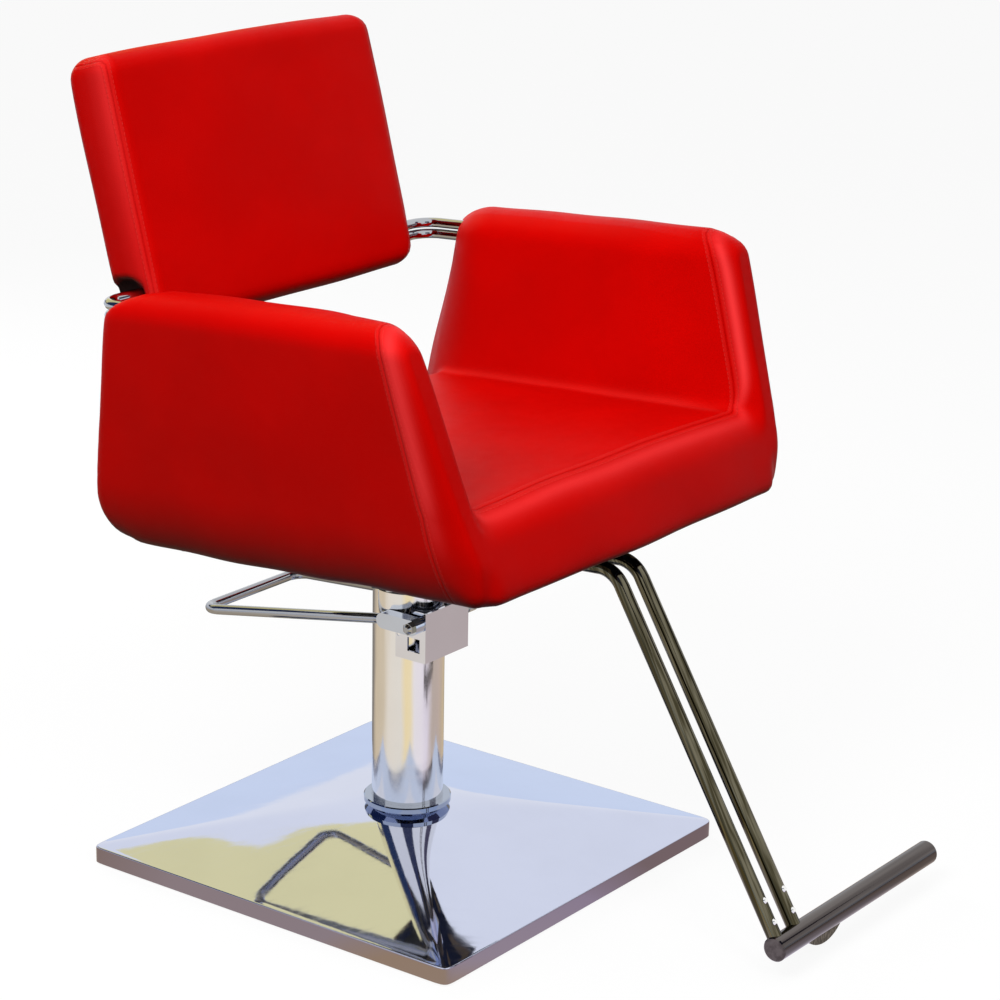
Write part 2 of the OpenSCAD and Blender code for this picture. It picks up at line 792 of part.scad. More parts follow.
module cross_bars() {
    color(black_tone) seat_frame() difference() {
        for (y = bar_places)
            translate([-bar_len / 2, y - bar_width / 2, -bar_thick]) cube([bar_len, bar_width, bar_thick]);
        plate_bolt_places() translate([0, 0, -bar_thick - over])
            cylinder(r = plate_bolt_d / 2 + fit_gap, h = bar_thick + 2 * over);
        bar_screw_places() translate([0, 0, -bar_thick - over])
            cylinder(r = bar_screw_d / 2 + fit_gap, h = bar_thick + 2 * over);
    }
}

module bar_screws() {
    color(steel_tone) seat_frame() bar_screw_places() {
        translate([0, 0, -bar_thick - bar_screw_head_h]) cylinder(d = bar_screw_head_d, h = bar_screw_head_h);
        translate([0, 0, -bar_thick]) cylinder(d = bar_screw_d, h = bar_screw_len);
    }
}

// Seat
module seat_board_block(gap, sunk) {
    translate([-inner_w / 2 + board_inset - gap, -tub_front + board_front_clear - gap, -sunk])
        cube([inner_w - 2 * board_inset + 2 * gap, tub_front + seat_rear - 2 * board_front_clear + 2 * gap,
            ply_thick + gap + sunk]);
}

module seat_board() {
    color(ply_tone) seat_frame() difference() {
        seat_board_block(0, 0);
        plate_bolt_places() translate([0, 0, -over])
            cylinder(r = plate_bolt_d / 2 + fit_gap, h = ply_thick + 2 * over);
        bar_screw_places() translate([0, 0, -over])
            cylinder(r = bar_screw_d / 2 + fit_gap, h = bar_screw_len - bar_thick + over);
    }
}

// The cushion's side outline is lofted across the seat, between the flared arms, under a crown
seat_stations = [-1, -0.97, -0.8, -0.5, -0.2, 0.2, 0.5, 0.8, 0.97, 1];
seat_points = [[-tub_front, 0], [seat_rear, 0], [seat_rear - seat_rear_lean, seat_h],
    [-tub_front + front_slope_share * seat_h, seat_h]];
function seat_half(z) = inner_w / 2 - crease_gap + arm_flare * z / arm_h;
function seat_ring(x) = [for (p = outline(seat_points, seat_corner_r, abs(x) == 1 ? seat_side_r : 0))
    [x * seat_half(p.y), p.x, p.y + seat_crown * (1 - x * x) * max(0, p.y / seat_h)]];

module seat_cushion() {
    rings = [for (x = seat_stations) seat_ring(x)];
    tip = [(seat_rear - tub_front) / 2, seat_h / 2];
    color(red_tone) seat_frame() difference() {
        skin(rings, [-seat_half(tip.y), tip.x, tip.y], [seat_half(tip.y), tip.x, tip.y]);
        seat_board_block(soft_gap, over);
    }
}

// Arms: a side outline with four rounded corners, lofted through the arm's thickness, leaning outward,
// with the rear end cut forward on the inner side
arm_points = [[-tub_front, 0], [tub_rear, 0],
    [tub_rear - rear_lean, arm_h], [-tub_front + front_lean, arm_h]];
function arm_place(p, depth) =
    let (back = max(0, (p.x - arm_rear_from) / (tub_rear - arm_rear_from)))
    [inner_w / 2 + depth + arm_flare * p.y / arm_h,
        p.x - arm_rear_cut * back * (1 - depth / arm_thick), p.y];
rear_cut_run_share = 2.4;
arm_rear_from = tub_rear - rear_cut_run_share * arm_rear_cut;
arm_middle = [(tub_rear - tub_front) / 2, arm_h / 2];

module arm_skin() {
    rings = [for (ring = pad_rings(arm_thick, arm_edge_r, 0, arm_crown))
        [for (p = outline(arm_points, arm_corner_r, ring[1]))
            arm_place(arm_middle + ring[0] * (p - arm_middle), ring[2])]];
    skin(rings, arm_place(arm_middle, 0), arm_place(arm_middle, arm_thick + arm_crown));
}

// The plywood panel stands in the middle of the arm, on the tub's underside
panel_top = arm_h * panel_top_share;
module panel_solid(gap, sunk) {
    thick = ply_thick + 2 * gap;
    lean = sin(arm_lean_angle);
    intersection() {
        translate([inner_w / 2 + arm_thick / 2, 0, 0]) rotate([0, arm_lean_angle, 0])
            translate([-thick / 2, 0, 0]) rotate([90, 0, 90]) linear_extrude(thick) polygon([
                [-tub_front + panel_inset - gap - front_slope_share * thick, -thick],
                [tub_rear - arm_rear_cut - panel_inset + gap + rear_slope_share * thick, -thick],
                [tub_rear - arm_rear_cut - panel_inset + gap - rear_slope_share * arm_h, arm_h],
                [-tub_front + panel_inset - gap + front_slope_share * arm_h, arm_h]]);
        translate([0, -tub_front, -sunk])
            cube([inner_w + 2 * arm_thick, tub_front + tub_rear, panel_top + gap + sunk]);
    }
}

module arm_panel() {
    difference() {
        panel_solid(0, 0);
        bar_screw_places() translate([0, 0, -over])
            cylinder(r = bar_screw_d / 2 + fit_gap, h = bar_screw_len - bar_thick + over);
    }
}

module right_arm_panel() {
    color(ply_tone) seat_frame() on_right() arm_panel();
}

module left_arm_panel() {
    color(ply_tone) seat_frame() on_left() arm_panel();
}

// The two heights of the stacked rods
back_rod_z = [back_rod_top_z, back_rod_top_z - rod_spacing];

module back_rod_path(r, reach) {
    for (z = back_rod_z) translate([0, 0, z])
        bent_rod([[back_rod_x, back_rod_start_y], [back_rod_x, back_rod_y],
            [back_w / 2 - back_rod_in, back_rod_y]], back_rod_bend_r, r, reach);
}

module socket_block(gap) {
    foot = panel_top + soft_gap;
    translate([back_rod_x - socket_w / 2 - gap, back_rod_start_y - socket_wall - gap, foot - soft_gap])
        cube([socket_w + 2 * gap, socket_len + 2 * gap,
            back_rod_top_z + back_rod_d / 2 + socket_wall - foot + soft_gap + gap]);
}

module rod_socket() {
    difference() {
        socket_block(0);
        back_rod_path(back_rod_d / 2 + fit_gap, fit_gap);
    }
}

module right_rod_socket() {
    color(steel_tone) seat_frame() on_right() rod_socket();
}

module left_rod_socket() {
    color(steel_tone) seat_frame() on_left() rod_socket();
}

module arm_pad() {
    difference() {
        arm_skin();
        panel_solid(soft_gap, over);
        socket_block(soft_gap);
        for (z = back_rod_z) translate([back_rod_x, back_rod_start_y, z]) rotate([-90, 0, 0])
            cylinder(r = back_rod_d / 2 + soft_gap, h = tub_rear);
    }
}

module right_arm_pad() {
    color(red_tone) seat_frame() on_right() arm_pad();
}

module left_arm_pad() {
    color(red_tone) seat_frame() on_left() arm_pad();
}

module right_back_rods() {
    color(chrome_tone) seat_frame() on_right() back_rod_path(back_rod_d / 2, 0);
}

module left_back_rods() {
    color(chrome_tone) seat_frame() on_left() back_rod_path(back_rod_d / 2, 0);
}

// Backrest
module rail_block(gap) {
    half = back_w / 2 - rail_side;
    translate([-half - gap, rail_front - gap, rail_foot - gap])
        cube([2 * (half + gap), rail_rear - rail_front + 2 * gap, rail_top - rail_foot + 2 * gap]);
}

module back_board_block(gap) {
    half = back_w / 2 - back_board_side;
    translate([-half - gap, rail_rear - gap, rail_foot - gap])
        cube([2 * (half + gap), back_board_thick + 2 * gap,
            back_h * back_board_top_share - rail_foot + 2 * gap]);
}

module back_screw_places() {
    for (x = back_screw_places, z = [rail_foot + rail_wall * 2, rail_top - rail_wall * 2])
        translate([x, rail_rear + back_board_thick, z]) rotate([90, 0, 0]) children();
}

// A steel channel, open to the board, with solid ends that hold the rods
module back_rail() {
    half = back_w / 2 - rail_side - rail_end;
    color(steel_tone) seat_frame() difference() {
        back_frame() difference() {
            rail_block(0);
            translate([-half, rail_front + rail_wall, rail_foot + rail_wall + back_screw_head_d])
                cube([2 * half, rail_rear - rail_front,
                    rail_top - rail_foot - 2 * rail_wall - 2 * back_screw_head_d]);
            back_screw_places()
                cylinder(r = back_screw_d / 2 + fit_gap, h = back_board_thick + back_screw_len + over);
        }
        on_left() back_rod_path(back_rod_d / 2 + fit_gap, fit_gap);
        on_right() back_rod_path(back_rod_d / 2 + fit_gap, fit_gap);
    }
}

module backrest_board() {
    color(ply_tone) seat_frame() back_frame() difference() {
        back_board_block(0);
        back_screw_places() translate([0, 0, -over])
            cylinder(r = back_screw_d / 2 + fit_gap, h = back_board_thick + 2 * over);
    }
}

module back_screws() {
    color(steel_tone) seat_frame() back_frame() back_screw_places() {
        cylinder(d = back_screw_d, h = back_board_thick + back_screw_len);
        translate([0, 0, -back_screw_head_h]) cylinder(d = back_screw_head_d, h = back_screw_head_h);
    }
}

back_points = [[-back_w / 2, 0], [back_w / 2, 0], [back_w / 2, back_h], [-back_w / 2, back_h]];
back_middle = [0, back_h / 2];
function back_place(p, depth) = [p.x, back_thick - depth, p.y];

module backrest_pad() {
    rings = [for (ring = pad_rings(back_thick, back_edge_r, back_rear_crown, back_crown))
        [for (p = outline(back_points, [for (p = back_points) back_corner_r], ring[1]))
            back_place(back_middle + ring[0] * (p - back_middle), ring[2])]];
    color(red_tone) seat_frame() difference() {
        back_frame() difference() {
            skin(rings, back_place(back_middle, -back_rear_crown),
                back_place(back_middle, back_thick + back_crown));
            rail_block(soft_gap);
            back_board_block(soft_gap);
            back_screw_places() translate([0, 0, -back_screw_head_h - soft_gap])
                cylinder(r = back_screw_head_d / 2 + soft_gap, h = back_screw_head_h + 2 * soft_gap);
        }
        on_left() rods_into_back();
        on_right() rods_into_back();
    }
}

module rods_into_back() {
    for (z = back_rod_z) translate([back_w / 2 - back_rod_in, back_rod_y, z]) rotate([0, 90, 0])
        cylinder(r = back_rod_d / 2 + soft_gap, h = 2 * back_rod_in);
}

// Footrest: its twin tubes run forward under the seat, then bend down to the bar
foot_path = [[-foot_tube_start, foot_tube_z], [-foot_bend_reach, foot_tube_z],
    [-foot_bar_reach, -foot_bar_drop]];
foot_way = unit(foot_path[2] - foot_path[1]);

module foot_bar_frame() {
    translate([foot_bar_start, -foot_bar_reach, -foot_bar_drop]) rotate([0, 90, 0]) children();
}

// The tube's path lies in the plane of Y and Z
module foot_tube(x, r, reach) {
    translate([x, 0, 0]) rotate([90, 0, 90]) bent_rod(foot_path, foot_bend_r, r, reach);
}

module footrest_tube(side) {
    x = side * foot_tube_gap / 2;
    difference() {
        foot_tube(x, foot_tube_d / 2, 0);
        foot_tube(x, foot_tube_d / 2 - foot_tube_wall, over);
        foot_bar_frame() translate([0, 0, -foot_bar_len]) cylinder(d = foot_bar_d, h = 3 * foot_bar_len);
        rivet_places(side) translate([0, 0, -foot_tube_d])
            cylinder(r = rivet_shank_d / 2 + fit_gap, h = 2 * foot_tube_d);
    }
}

module right_footrest_tube() {
    color(chrome_tone) seat_frame() footrest_tube(-1);
}

module left_footrest_tube() {
    color(chrome_tone) seat_frame() footrest_tube(1);
}

module footrest_clamp() {
    half = foot_tube_gap / 2 + foot_tube_d / 2 + clamp_side / 2;
    low = foot_tube_z - foot_tube_d / 2 - clamp_under;
    color(black_tone) seat_frame() difference() {
        union() {
            translate([-half, -clamp_front, low])
                cube([2 * half, clamp_front - clamp_rear, plate_under - low]);
            translate([-half - clamp_ear / 2, -clamp_front, plate_under - clamp_ear_h])
                cube([2 * half + clamp_ear, clamp_front - clamp_rear, clamp_ear_h]);
        }
        for (side = [-1, 1]) foot_tube(side * foot_tube_gap / 2, foot_tube_d / 2 + fit_gap, fit_gap);
        clamp_bolt_places() translate([0, 0, plate_under - clamp_ear_h - over])
            cylinder(r = clamp_bolt_d / 2 + fit_gap, h = clamp_ear_h + 2 * over);
        clamp_bolt_places() translate([0, 0, low - over])
            cylinder(r = clamp_bolt_head_d / 2 + bolt_loose, h = plate_under - clamp_ear_h - low + over);
    }
}

module clamp_bolts() {
    color(steel_tone) seat_frame() clamp_bolt_places() {
        translate([0, 0, plate_under - clamp_ear_h - clamp_bolt_head_h])
            cylinder(d = clamp_bolt_head_d, h = clamp_bolt_head_h, $fn = 6);
        translate([0, 0, plate_under - clamp_ear_h])
            cylinder(d = clamp_bolt_d, h = clamp_ear_h + seat_plate_thick);
    }
}

module footrest_bar() {
    color(chrome_tone) seat_frame() foot_bar_frame() difference() {
        cylinder(d = foot_bar_d, h = foot_bar_len);
        translate([0, 0, -over]) cylinder(r = foot_bar_d / 2 - foot_tube_wall, h = foot_bar_len + 2 * over);
    }
}

// A cap: a plug in the bar's bore and a disc with a broken edge
module cap() {
    plug = foot_bar_d / 2 - foot_tube_wall - fit_gap;
    rotate_extrude() polygon([[0, -cap_plug], [plug, -cap_plug], [plug, 0], [foot_bar_d / 2, 0],
        [foot_bar_d / 2, cap_h - cap_edge], [foot_bar_d / 2 - cap_edge, cap_h], [0, cap_h]]);
}

module footrest_caps() {
    color(chrome_tone) seat_frame() foot_bar_frame() {
        translate([0, 0, foot_bar_len]) cap();
        mirror([0, 0, 1]) cap();
    }
}

// A crescent plate under the bar: a shallow arc below, cut to the bar's round above
module footrest_gusset() {
    span = (gusset_x[1] - gusset_x[0]) / 2;
    deep = gusset_depth + foot_bar_d / 2;
    arc_r = (span * span + deep * deep) / (2 * deep);
    color(chrome_tone) seat_frame() difference() {
        translate([gusset_x[0] + span, -foot_bar_reach - gusset_thick / 2, -foot_bar_drop])
            rotate([-90, 0, 0]) linear_extrude(gusset_thick) intersection() {
                translate([0, deep - arc_r]) circle(r = arc_r);
                translate([-span, 0]) square([2 * span, deep]);
            }
        foot_bar_frame() translate([0, 0, -over]) cylinder(d = foot_bar_d, h = foot_bar_len + 2 * over);
    }
}

// Rivets stand on the front of the tubes, square to them
module rivet_places(side) {
    for (step = rivet_steps)
        translate([side * foot_tube_gap / 2, -foot_bar_reach - foot_way.x * step,
            -foot_bar_drop - foot_way.y * step])
            rotate([atan2(foot_way.x, -foot_way.y), 0, 0]) rotate([90, 0, 0]) children();
}

module footrest_rivets() {
    inner = foot_tube_d / 2 - foot_tube_wall;
    color(chrome_tone) seat_frame() for (side = [-1, 1]) rivet_places(side) {
        translate([0, 0, foot_tube_d / 2])
            cylinder(d1 = rivet_d, d2 = rivet_d * rivet_top_share, h = rivet_h);
        translate([0, 0, inner]) cylinder(d = rivet_shank_d, h = foot_tube_wall);
    }
}

floor_pads();
base_plate();
base_cover();
pump_flange();
flange_bolts();
collar_ring();
pump_casing();
pump_cylinder();
gland_cap();
pump_barrel();
pump_head();
pump_plunger();
rocker_shaft();
lever_yoke();
pump_lever();
shaft_nuts();
piston_rod();
piston();
piston_ring();
thrust_washer();
swivel_hub();
seat_plate();
plate_bolts();
cross_bars();
bar_screws();
seat_board();
seat_cushion();
right_arm_panel();
left_arm_panel();
right_arm_pad();
left_arm_pad();
right_rod_socket();
left_rod_socket();
right_back_rods();
left_back_rods();
back_rail();
backrest_board();
back_screws();
backrest_pad();
footrest_clamp();
clamp_bolts();
right_footrest_tube();
left_footrest_tube();
footrest_bar();
footrest_caps();
footrest_gusset();
footrest_rivets();
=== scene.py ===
import math

import bpy
import numpy as np
from bpy.props import FloatProperty, FloatVectorProperty, IntProperty, PointerProperty
from mathutils import Matrix, Vector


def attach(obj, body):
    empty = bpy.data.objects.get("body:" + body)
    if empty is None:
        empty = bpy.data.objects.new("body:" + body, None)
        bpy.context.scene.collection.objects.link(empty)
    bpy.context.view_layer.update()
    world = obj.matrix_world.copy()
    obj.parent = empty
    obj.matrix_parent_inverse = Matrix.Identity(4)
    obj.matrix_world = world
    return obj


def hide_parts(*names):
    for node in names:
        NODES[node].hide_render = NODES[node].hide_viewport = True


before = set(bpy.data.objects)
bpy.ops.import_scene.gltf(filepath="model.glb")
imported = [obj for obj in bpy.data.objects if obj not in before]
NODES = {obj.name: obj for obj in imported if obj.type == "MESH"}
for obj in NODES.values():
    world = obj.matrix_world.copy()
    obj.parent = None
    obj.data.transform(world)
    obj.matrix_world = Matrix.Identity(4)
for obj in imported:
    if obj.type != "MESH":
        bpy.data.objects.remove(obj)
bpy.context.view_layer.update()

bl_info = {
    "name": "Hairdressing chair",
    "version": (1, 0, 0),
    "blender": (4, 5, 0),
    "location": "View3D > Sidebar > Chair",
    "description": "Upholstery, chrome and studio of a hairdressing chair, built over its packed frame",
    "category": "Object",
}

# The seat's own frame: it is pitched back and stands on the swivel hub
SEAT_RISE = 0.457
SEAT_PITCH = math.radians(3.2)
BACK_TILT = math.radians(12.0)
BACK_PLACE = (0.167, 0.249)


def to_room(points, pitch=SEAT_PITCH, rise=SEAT_RISE):
    """Turns points from the seat's frame into the room's: a turn about X by the pitch, then a lift."""
    c, s = math.cos(pitch), math.sin(pitch)
    x, y, z = points[:, 0], points[:, 1], points[:, 2]
    return np.stack([x, y * c + z * s, z * c - y * s + rise], axis=1)


def to_seat(points, tilt=BACK_TILT, place=BACK_PLACE):
    """Turns points from the backrest's frame into the seat's: a turn about X by the tilt, then a shift."""
    c, s = math.cos(tilt), math.sin(tilt)
    x, y, z = points[:, 0], points[:, 1], points[:, 2]
    return np.stack([x, y * c + z * s + place[0], z * c - y * s + place[1]], axis=1)


# Sizes and colours


def length(description, default):
    """A length in metres for the panel."""
    return FloatProperty(description=description, default=default, unit="LENGTH")


def paint(description, default):
    """A colour in linear light for the panel."""
    return FloatVectorProperty(description=description, default=default, size=3, subtype="COLOR")


def watts(description, default):
    """A lamp's power in watts for the panel."""
    return FloatProperty(description=description, default=default, subtype="POWER")


class TubSizes(bpy.types.PropertyGroup):
    """Sizes of the seat tub: two leaning arms and the seat between them."""
    arm_height: length("Arm's top above the underside", 0.311)
    front: length("Column axis to the lower front edge", 0.355)
    rear: length("Column axis to the lower rear edge", 0.247)
    front_lean: length("How far the front leans back", 0.085)
    rear_lean: length("How far the rear leans forward", 0.078)
    inner_width: length("Between the arms, at the underside", 0.470)
    flare: length("How far an arm leans outward", 0.035)
    thick: length("Thickness of an arm", 0.080)
    rear_cut: length("How far the arm's inner rear is cut forward", 0.084)
    cut_run: length("Length over which the rear cut grows", 0.2016)
    seat_height: length("Seat's top above the underside", 0.104)
    seat_crown: length("Rise of the seat's middle", 0.007)
    seat_rear: length("Column axis to the seat's rear", 0.178)
    nose_thin: length("How much thinner an arm gets at its front", 0.020)
    front_bow: length("How far the seat's front swells", 0.004)
    crease: length("Fillet between an arm and the seat", 0.007)


class BackSizes(bpy.types.PropertyGroup):
    """Sizes of the backrest."""
    width: length("Width of the backrest", 0.481)
    height: length("Height along its slope", 0.327)
    thick: length("Thickness of the backrest", 0.074)
    crown: length("Crown of its front", 0.006)


class BaseSizes(bpy.types.PropertyGroup):
    """Sizes of the pillow shaped base cover."""
    side: length("Side of the cover", 0.560)
    rim: length("Height of the rim", 0.023)
    crown: length("Height at the column", 0.065)
    hole: length("Radius of the hole for the column", 0.046)
    wall: length("Sheet thickness", 0.0015)


class Colours(bpy.types.PropertyGroup):
    """Colours of the finishes, in linear light."""
    leather: paint("Colour of the red covering", (0.57, 0.0009, 0.0003))
    lining: paint("Colour of the cloth under the seat", (0.10, 0.13, 0.22))
    # The base cover's lavender tint is a painted reflection
    base_chrome: paint("Colour of the base cover", (0.60, 0.64, 0.80))
    column_chrome: paint("Colour of the column", (0.80, 0.79, 0.78))


class Studio(bpy.types.PropertyGroup):
    """Light of the studio and fineness of the upholstery."""
    sky: FloatProperty(description="Strength of the even light overhead", default=0.70)
    horizon: FloatProperty(description="Strength of the light from the sides", default=0.06)
    top_lamp: watts("Power of the lamp above", 11.0)
    side_lamp: watts("Power of the lamp at the sitter's right", 64.0)
    key_lamp: watts("Power of the lamp beside the camera", 22.0)
    rear_lamp: watts("Power of the lamp behind the chair", 30.0)
    fineness: IntProperty(description="Millimetres between the covering's points", default=5)


GROUPS = {
    "chair_tub": TubSizes,
    "chair_back": BackSizes,
    "chair_base": BaseSizes,
    "chair_colours": Colours,
    "chair_studio": Studio,
}


# Shader maths


class Value:
    """One output of a shader node, with arithmetic that adds the nodes that work it out."""

    def __init__(self, tree, socket):
        self.tree = tree
        self.socket = socket

    def maths(self, operation, *terms):
        return self.tree.node("Math", {"operation": operation}, dict(enumerate(terms)))

    def __add__(self, other):
        return self.maths("ADD", self, other)

    def __radd__(self, other):
        return self.maths("ADD", other, self)

    def __sub__(self, other):
        return self.maths("SUBTRACT", self, other)

    def __mul__(self, other):
        return self.maths("MULTIPLY", self, other)

    def __rmul__(self, other):
        return self.maths("MULTIPLY", other, self)

    def __truediv__(self, other):
        return self.maths("DIVIDE", self, other)

    def __abs__(self):
        return self.maths("ABSOLUTE", self)

    def fraction(self):
        return self.maths("FRACT", self)

    def most(self, other):
        return self.maths("MAXIMUM", self, other)

    def angle_from(self, other):
        """The angle of the point (other, self) round the origin."""
        return self.maths("ARCTAN2", self, other)

    def ramp(self, low, high, out_low=0.0, out_high=1.0):
        """A smooth step from low to high."""
        return self.tree.node("MapRange", {"interpolation_type": "SMOOTHSTEP"}, {
            "Value": self, "From Min": low, "From Max": high, "To Min": out_low, "To Max": out_high})

    def ridge(self, width):
        """1 at zero, falling to 0 at the width on either side."""
        return abs(self).ramp(0.0, width, 1.0, 0.0)


class Tree:
    """A node tree that nodes are added to by their kind, settings and sockets."""

    def __init__(self, tree):
        self.tree = tree

    def put(self, socket, value):
        """Links a Value to a socket, or sets the socket to a plain value."""
        if isinstance(value, Value):
            self.tree.links.new(value.socket, socket)
        else:
            socket.default_value = value

    def add(self, kind):
        """Adds a bare shader node of a kind, such as Math or Emission."""
        return self.tree.nodes.new("ShaderNode" + kind)

    def node(self, kind, settings, values, output=0):
        """Adds a node: its settings first, then the values or links of its sockets."""
        made = self.add(kind)
        for name, value in settings.items():
            setattr(made, name, value)
        for name, value in values.items():
            self.put(made.inputs[name], value)
        return Value(self, made.outputs[output])

    def seen_directly(self):
        """1 for rays that the camera, polished metal or glass sends out, 0 for those that only carry
        light."""
        camera, metal, glass = (self.node("LightPath", {}, {}, "Is " + kind + " Ray")
                                for kind in ("Camera", "Glossy", "Transmission"))
        return camera.most(metal).most(glass)


class Look(Tree):
    """One procedural finish: a material, its Principled shader and the object's coordinates."""

    def __init__(self, name, **sockets):
        self.material = bpy.data.materials.new(name)
        self.material.use_nodes = True
        super().__init__(self.material.node_tree)
        self.tree.nodes.clear()
        self.shader = self.add("BsdfPrincipled")
        self.end = self.add("OutputMaterial")
        self.tree.links.new(self.shader.outputs[0], self.end.inputs["Surface"])
        self.place = self.node("TexCoord", {}, {}, "Object")
        self.set(**sockets)

    def set(self, **sockets):
        """Sets or links the shader's sockets by their names."""
        for name, value in sockets.items():
            self.put(self.shader.inputs[name.replace("_", " ")], value)

    def noise(self, scale, detail=2.0, roughness=0.5, at=None, **more):
        """Perlin noise, from 0 to 1."""
        return self.node("TexNoise", {}, {
            "Vector": at or self.place, "Scale": scale, "Detail": detail, "Roughness": roughness, **more})

    def cells(self, scale):
        """Distance to the centre of the nearest cell."""
        values = {"Vector": self.place, "Scale": scale}
        return self.node("TexVoronoi", {"feature": "F1"}, values, "Distance")

    def stretched(self, scale, turn=(0.0, 0.0, 0.0)):
        """The object's coordinates, turned and then scaled by axis, so that a pattern lies along the turned
        axes."""
        return self.node("Mapping", {"vector_type": "TEXTURE"}, {
            "Vector": self.place, "Rotation": turn, "Scale": tuple(1 / s for s in scale)})

    def part(self, axis):
        """One of the object's coordinates."""
        return self.node("SeparateXYZ", {}, {0: self.place}, axis)

    def upward(self):
        """How far the surface faces up: 1 on a level top, -1 on an underside."""
        normal = self.node("NewGeometry", {}, {}, "Normal")
        return self.node("SeparateXYZ", {}, {0: normal}, "Z")

    def attribute(self, name):
        """A number that store() kept for each point."""
        return self.node("Attribute", {"attribute_name": name}, {}, "Fac")

    def mix(self, factor, first, second):
        """A mix of two colours: all of the first at factor 0, all of the second at 1."""
        made = self.add("Mix")
        made.data_type = "RGBA"
        # Inputs 0, 6 and 7 of the mix node are the factor and the colours, output 2 is the mixed colour
        for number, value in ((0, factor), (6, first), (7, second)):
            if isinstance(value, tuple):
                value = (*value, 1.0)
            self.put(made.inputs[number], value)
        return Value(self, made.outputs[2])

    def ramp_of_colours(self, value, stops):
        """The colour that a table of (place, colour) rows gives for a value."""
        made = self.add("ValToRGB")
        elements = made.color_ramp.elements
        while len(elements) < len(stops):
            elements.new(0.5)
        for element, (at, shade) in zip(elements, stops):
            element.position = at
            element.color = (*shade, 1.0)
        self.put(made.inputs["Fac"], value)
        return Value(self, made.outputs["Color"])

    def bump(self, height, distance, strength):
        """A normal that is tilted by a height in metres times the distance."""
        return self.node("Bump", {}, {"Strength": strength, "Distance": distance, "Height": height})


def tinted(colour, factor):
    """A colour made lighter or darker."""
    return tuple(min(1.0, c * factor) for c in colour)


# Leathercloth: sizes in metres along and across a seam, and colours in linear light
GROOVE_WIDTH = 0.0010
LIP_PLACE = 0.0030
LIP_WIDTH = 0.0028
STITCH_STEP = 0.0062
THREAD_PLACE = 0.0046
THREAD_WIDTH = 0.0008
# A painted highlight: the pale strip along the edge rolls of the arms and the backrest's gusset
PAINTED_SHEEN_RED = (0.92, 0.044, 0.045)
# The seam's lips are raised by the bump and also painted lighter, a painted highlight
LIP_HIGHLIGHT_RED = (0.72, 0.030, 0.026)
THREAD_RED = (0.80, 0.06, 0.05)
# A painted highlight along the crease between an arm and the seat
CREASE_HIGHLIGHT_RED = (0.74, 0.035, 0.030)
# Painted shade in the rods' hollows in the backrest
HOLLOW_SHADE_BLACK = (0.012, 0.006, 0.006)
SHEEN_TINT = (1.0, 0.13, 0.12, 1.0)


def leather_look(colour, lining):
    """Red leathercloth: pebbled grain, slight mottling, a seam groove with a row of stitches at either side;
    painted highlights on the strip along the edge rolls, on the seam's lips and along the crease; painted
    shade on faces that turn under and in the rods' hollows; and cloth underneath."""
    look = Look("leathercloth", IOR=1.14, Specular_IOR_Level=0.5, Specular_Tint=SHEEN_TINT)
    across = look.attribute("seam_across")
    along = look.attribute("seam_along")
    hollow = look.attribute("hollow")
    mottle = look.noise(7.0, 3.0)
    fine = look.noise(55.0, 3.0)
    grain = look.cells(950.0)
    pores = look.noise(2400.0, 2.0)
    groove = across.ridge(GROOVE_WIDTH)
    lip = (across + LIP_PLACE).ridge(LIP_WIDTH).most((across - LIP_PLACE).ridge(LIP_WIDTH))
    stitch = ((along / STITCH_STEP).fraction() - 0.5).ridge(0.46).ramp(0.05, 0.3)
    rows = (across - THREAD_PLACE).ridge(THREAD_WIDTH).most((across + THREAD_PLACE).ridge(THREAD_WIDTH))
    thread = rows * stitch
    # Painted shade: faces that turn under are darkened towards near black
    painted_underside_shade = look.upward().ramp(-0.72, -0.10, 0.92, 0.0)
    red = look.mix(mottle.ramp(0.3, 0.7), tinted(colour, 0.93), tinted(colour, 1.05))
    # Among these mixes, the strip, the lips and the crease get painted highlights, and the faces turned under
    # and the hollows get painted shade
    for share, other in ((fine * 0.25, tinted(colour, 0.8)),
                         (look.attribute("stretched"), PAINTED_SHEEN_RED),
                         (lip * 0.20, LIP_HIGHLIGHT_RED),
                         (groove * 0.10, tinted(colour, 0.5)),
                         (thread * 0.26, THREAD_RED),
                         (look.attribute("crease") * 0.22, CREASE_HIGHLIGHT_RED),
                         (painted_underside_shade, tinted(colour, 0.12)),
                         (hollow, HOLLOW_SHADE_BLACK)):
        red = look.mix(share, red, other)
    under = look.upward().ramp(-0.985, -0.93, 1.0, 0.0) * look.attribute("underside")
    cloth = look.mix(look.noise(700.0, 2.0), tinted(lining, 0.86), tinted(lining, 1.1))
    height = grain * 0.00016 + pores * 0.00004 + lip * 0.0004 - groove * 0.0007 + thread * 0.0004
    look.set(Base_Color=look.mix(under, red, cloth),
             Roughness=(0.37 + 0.10 * fine + 0.06 * grain).most(under * 0.9).most(hollow * 0.9),
             Normal=look.bump(height, 1.0, 0.9))


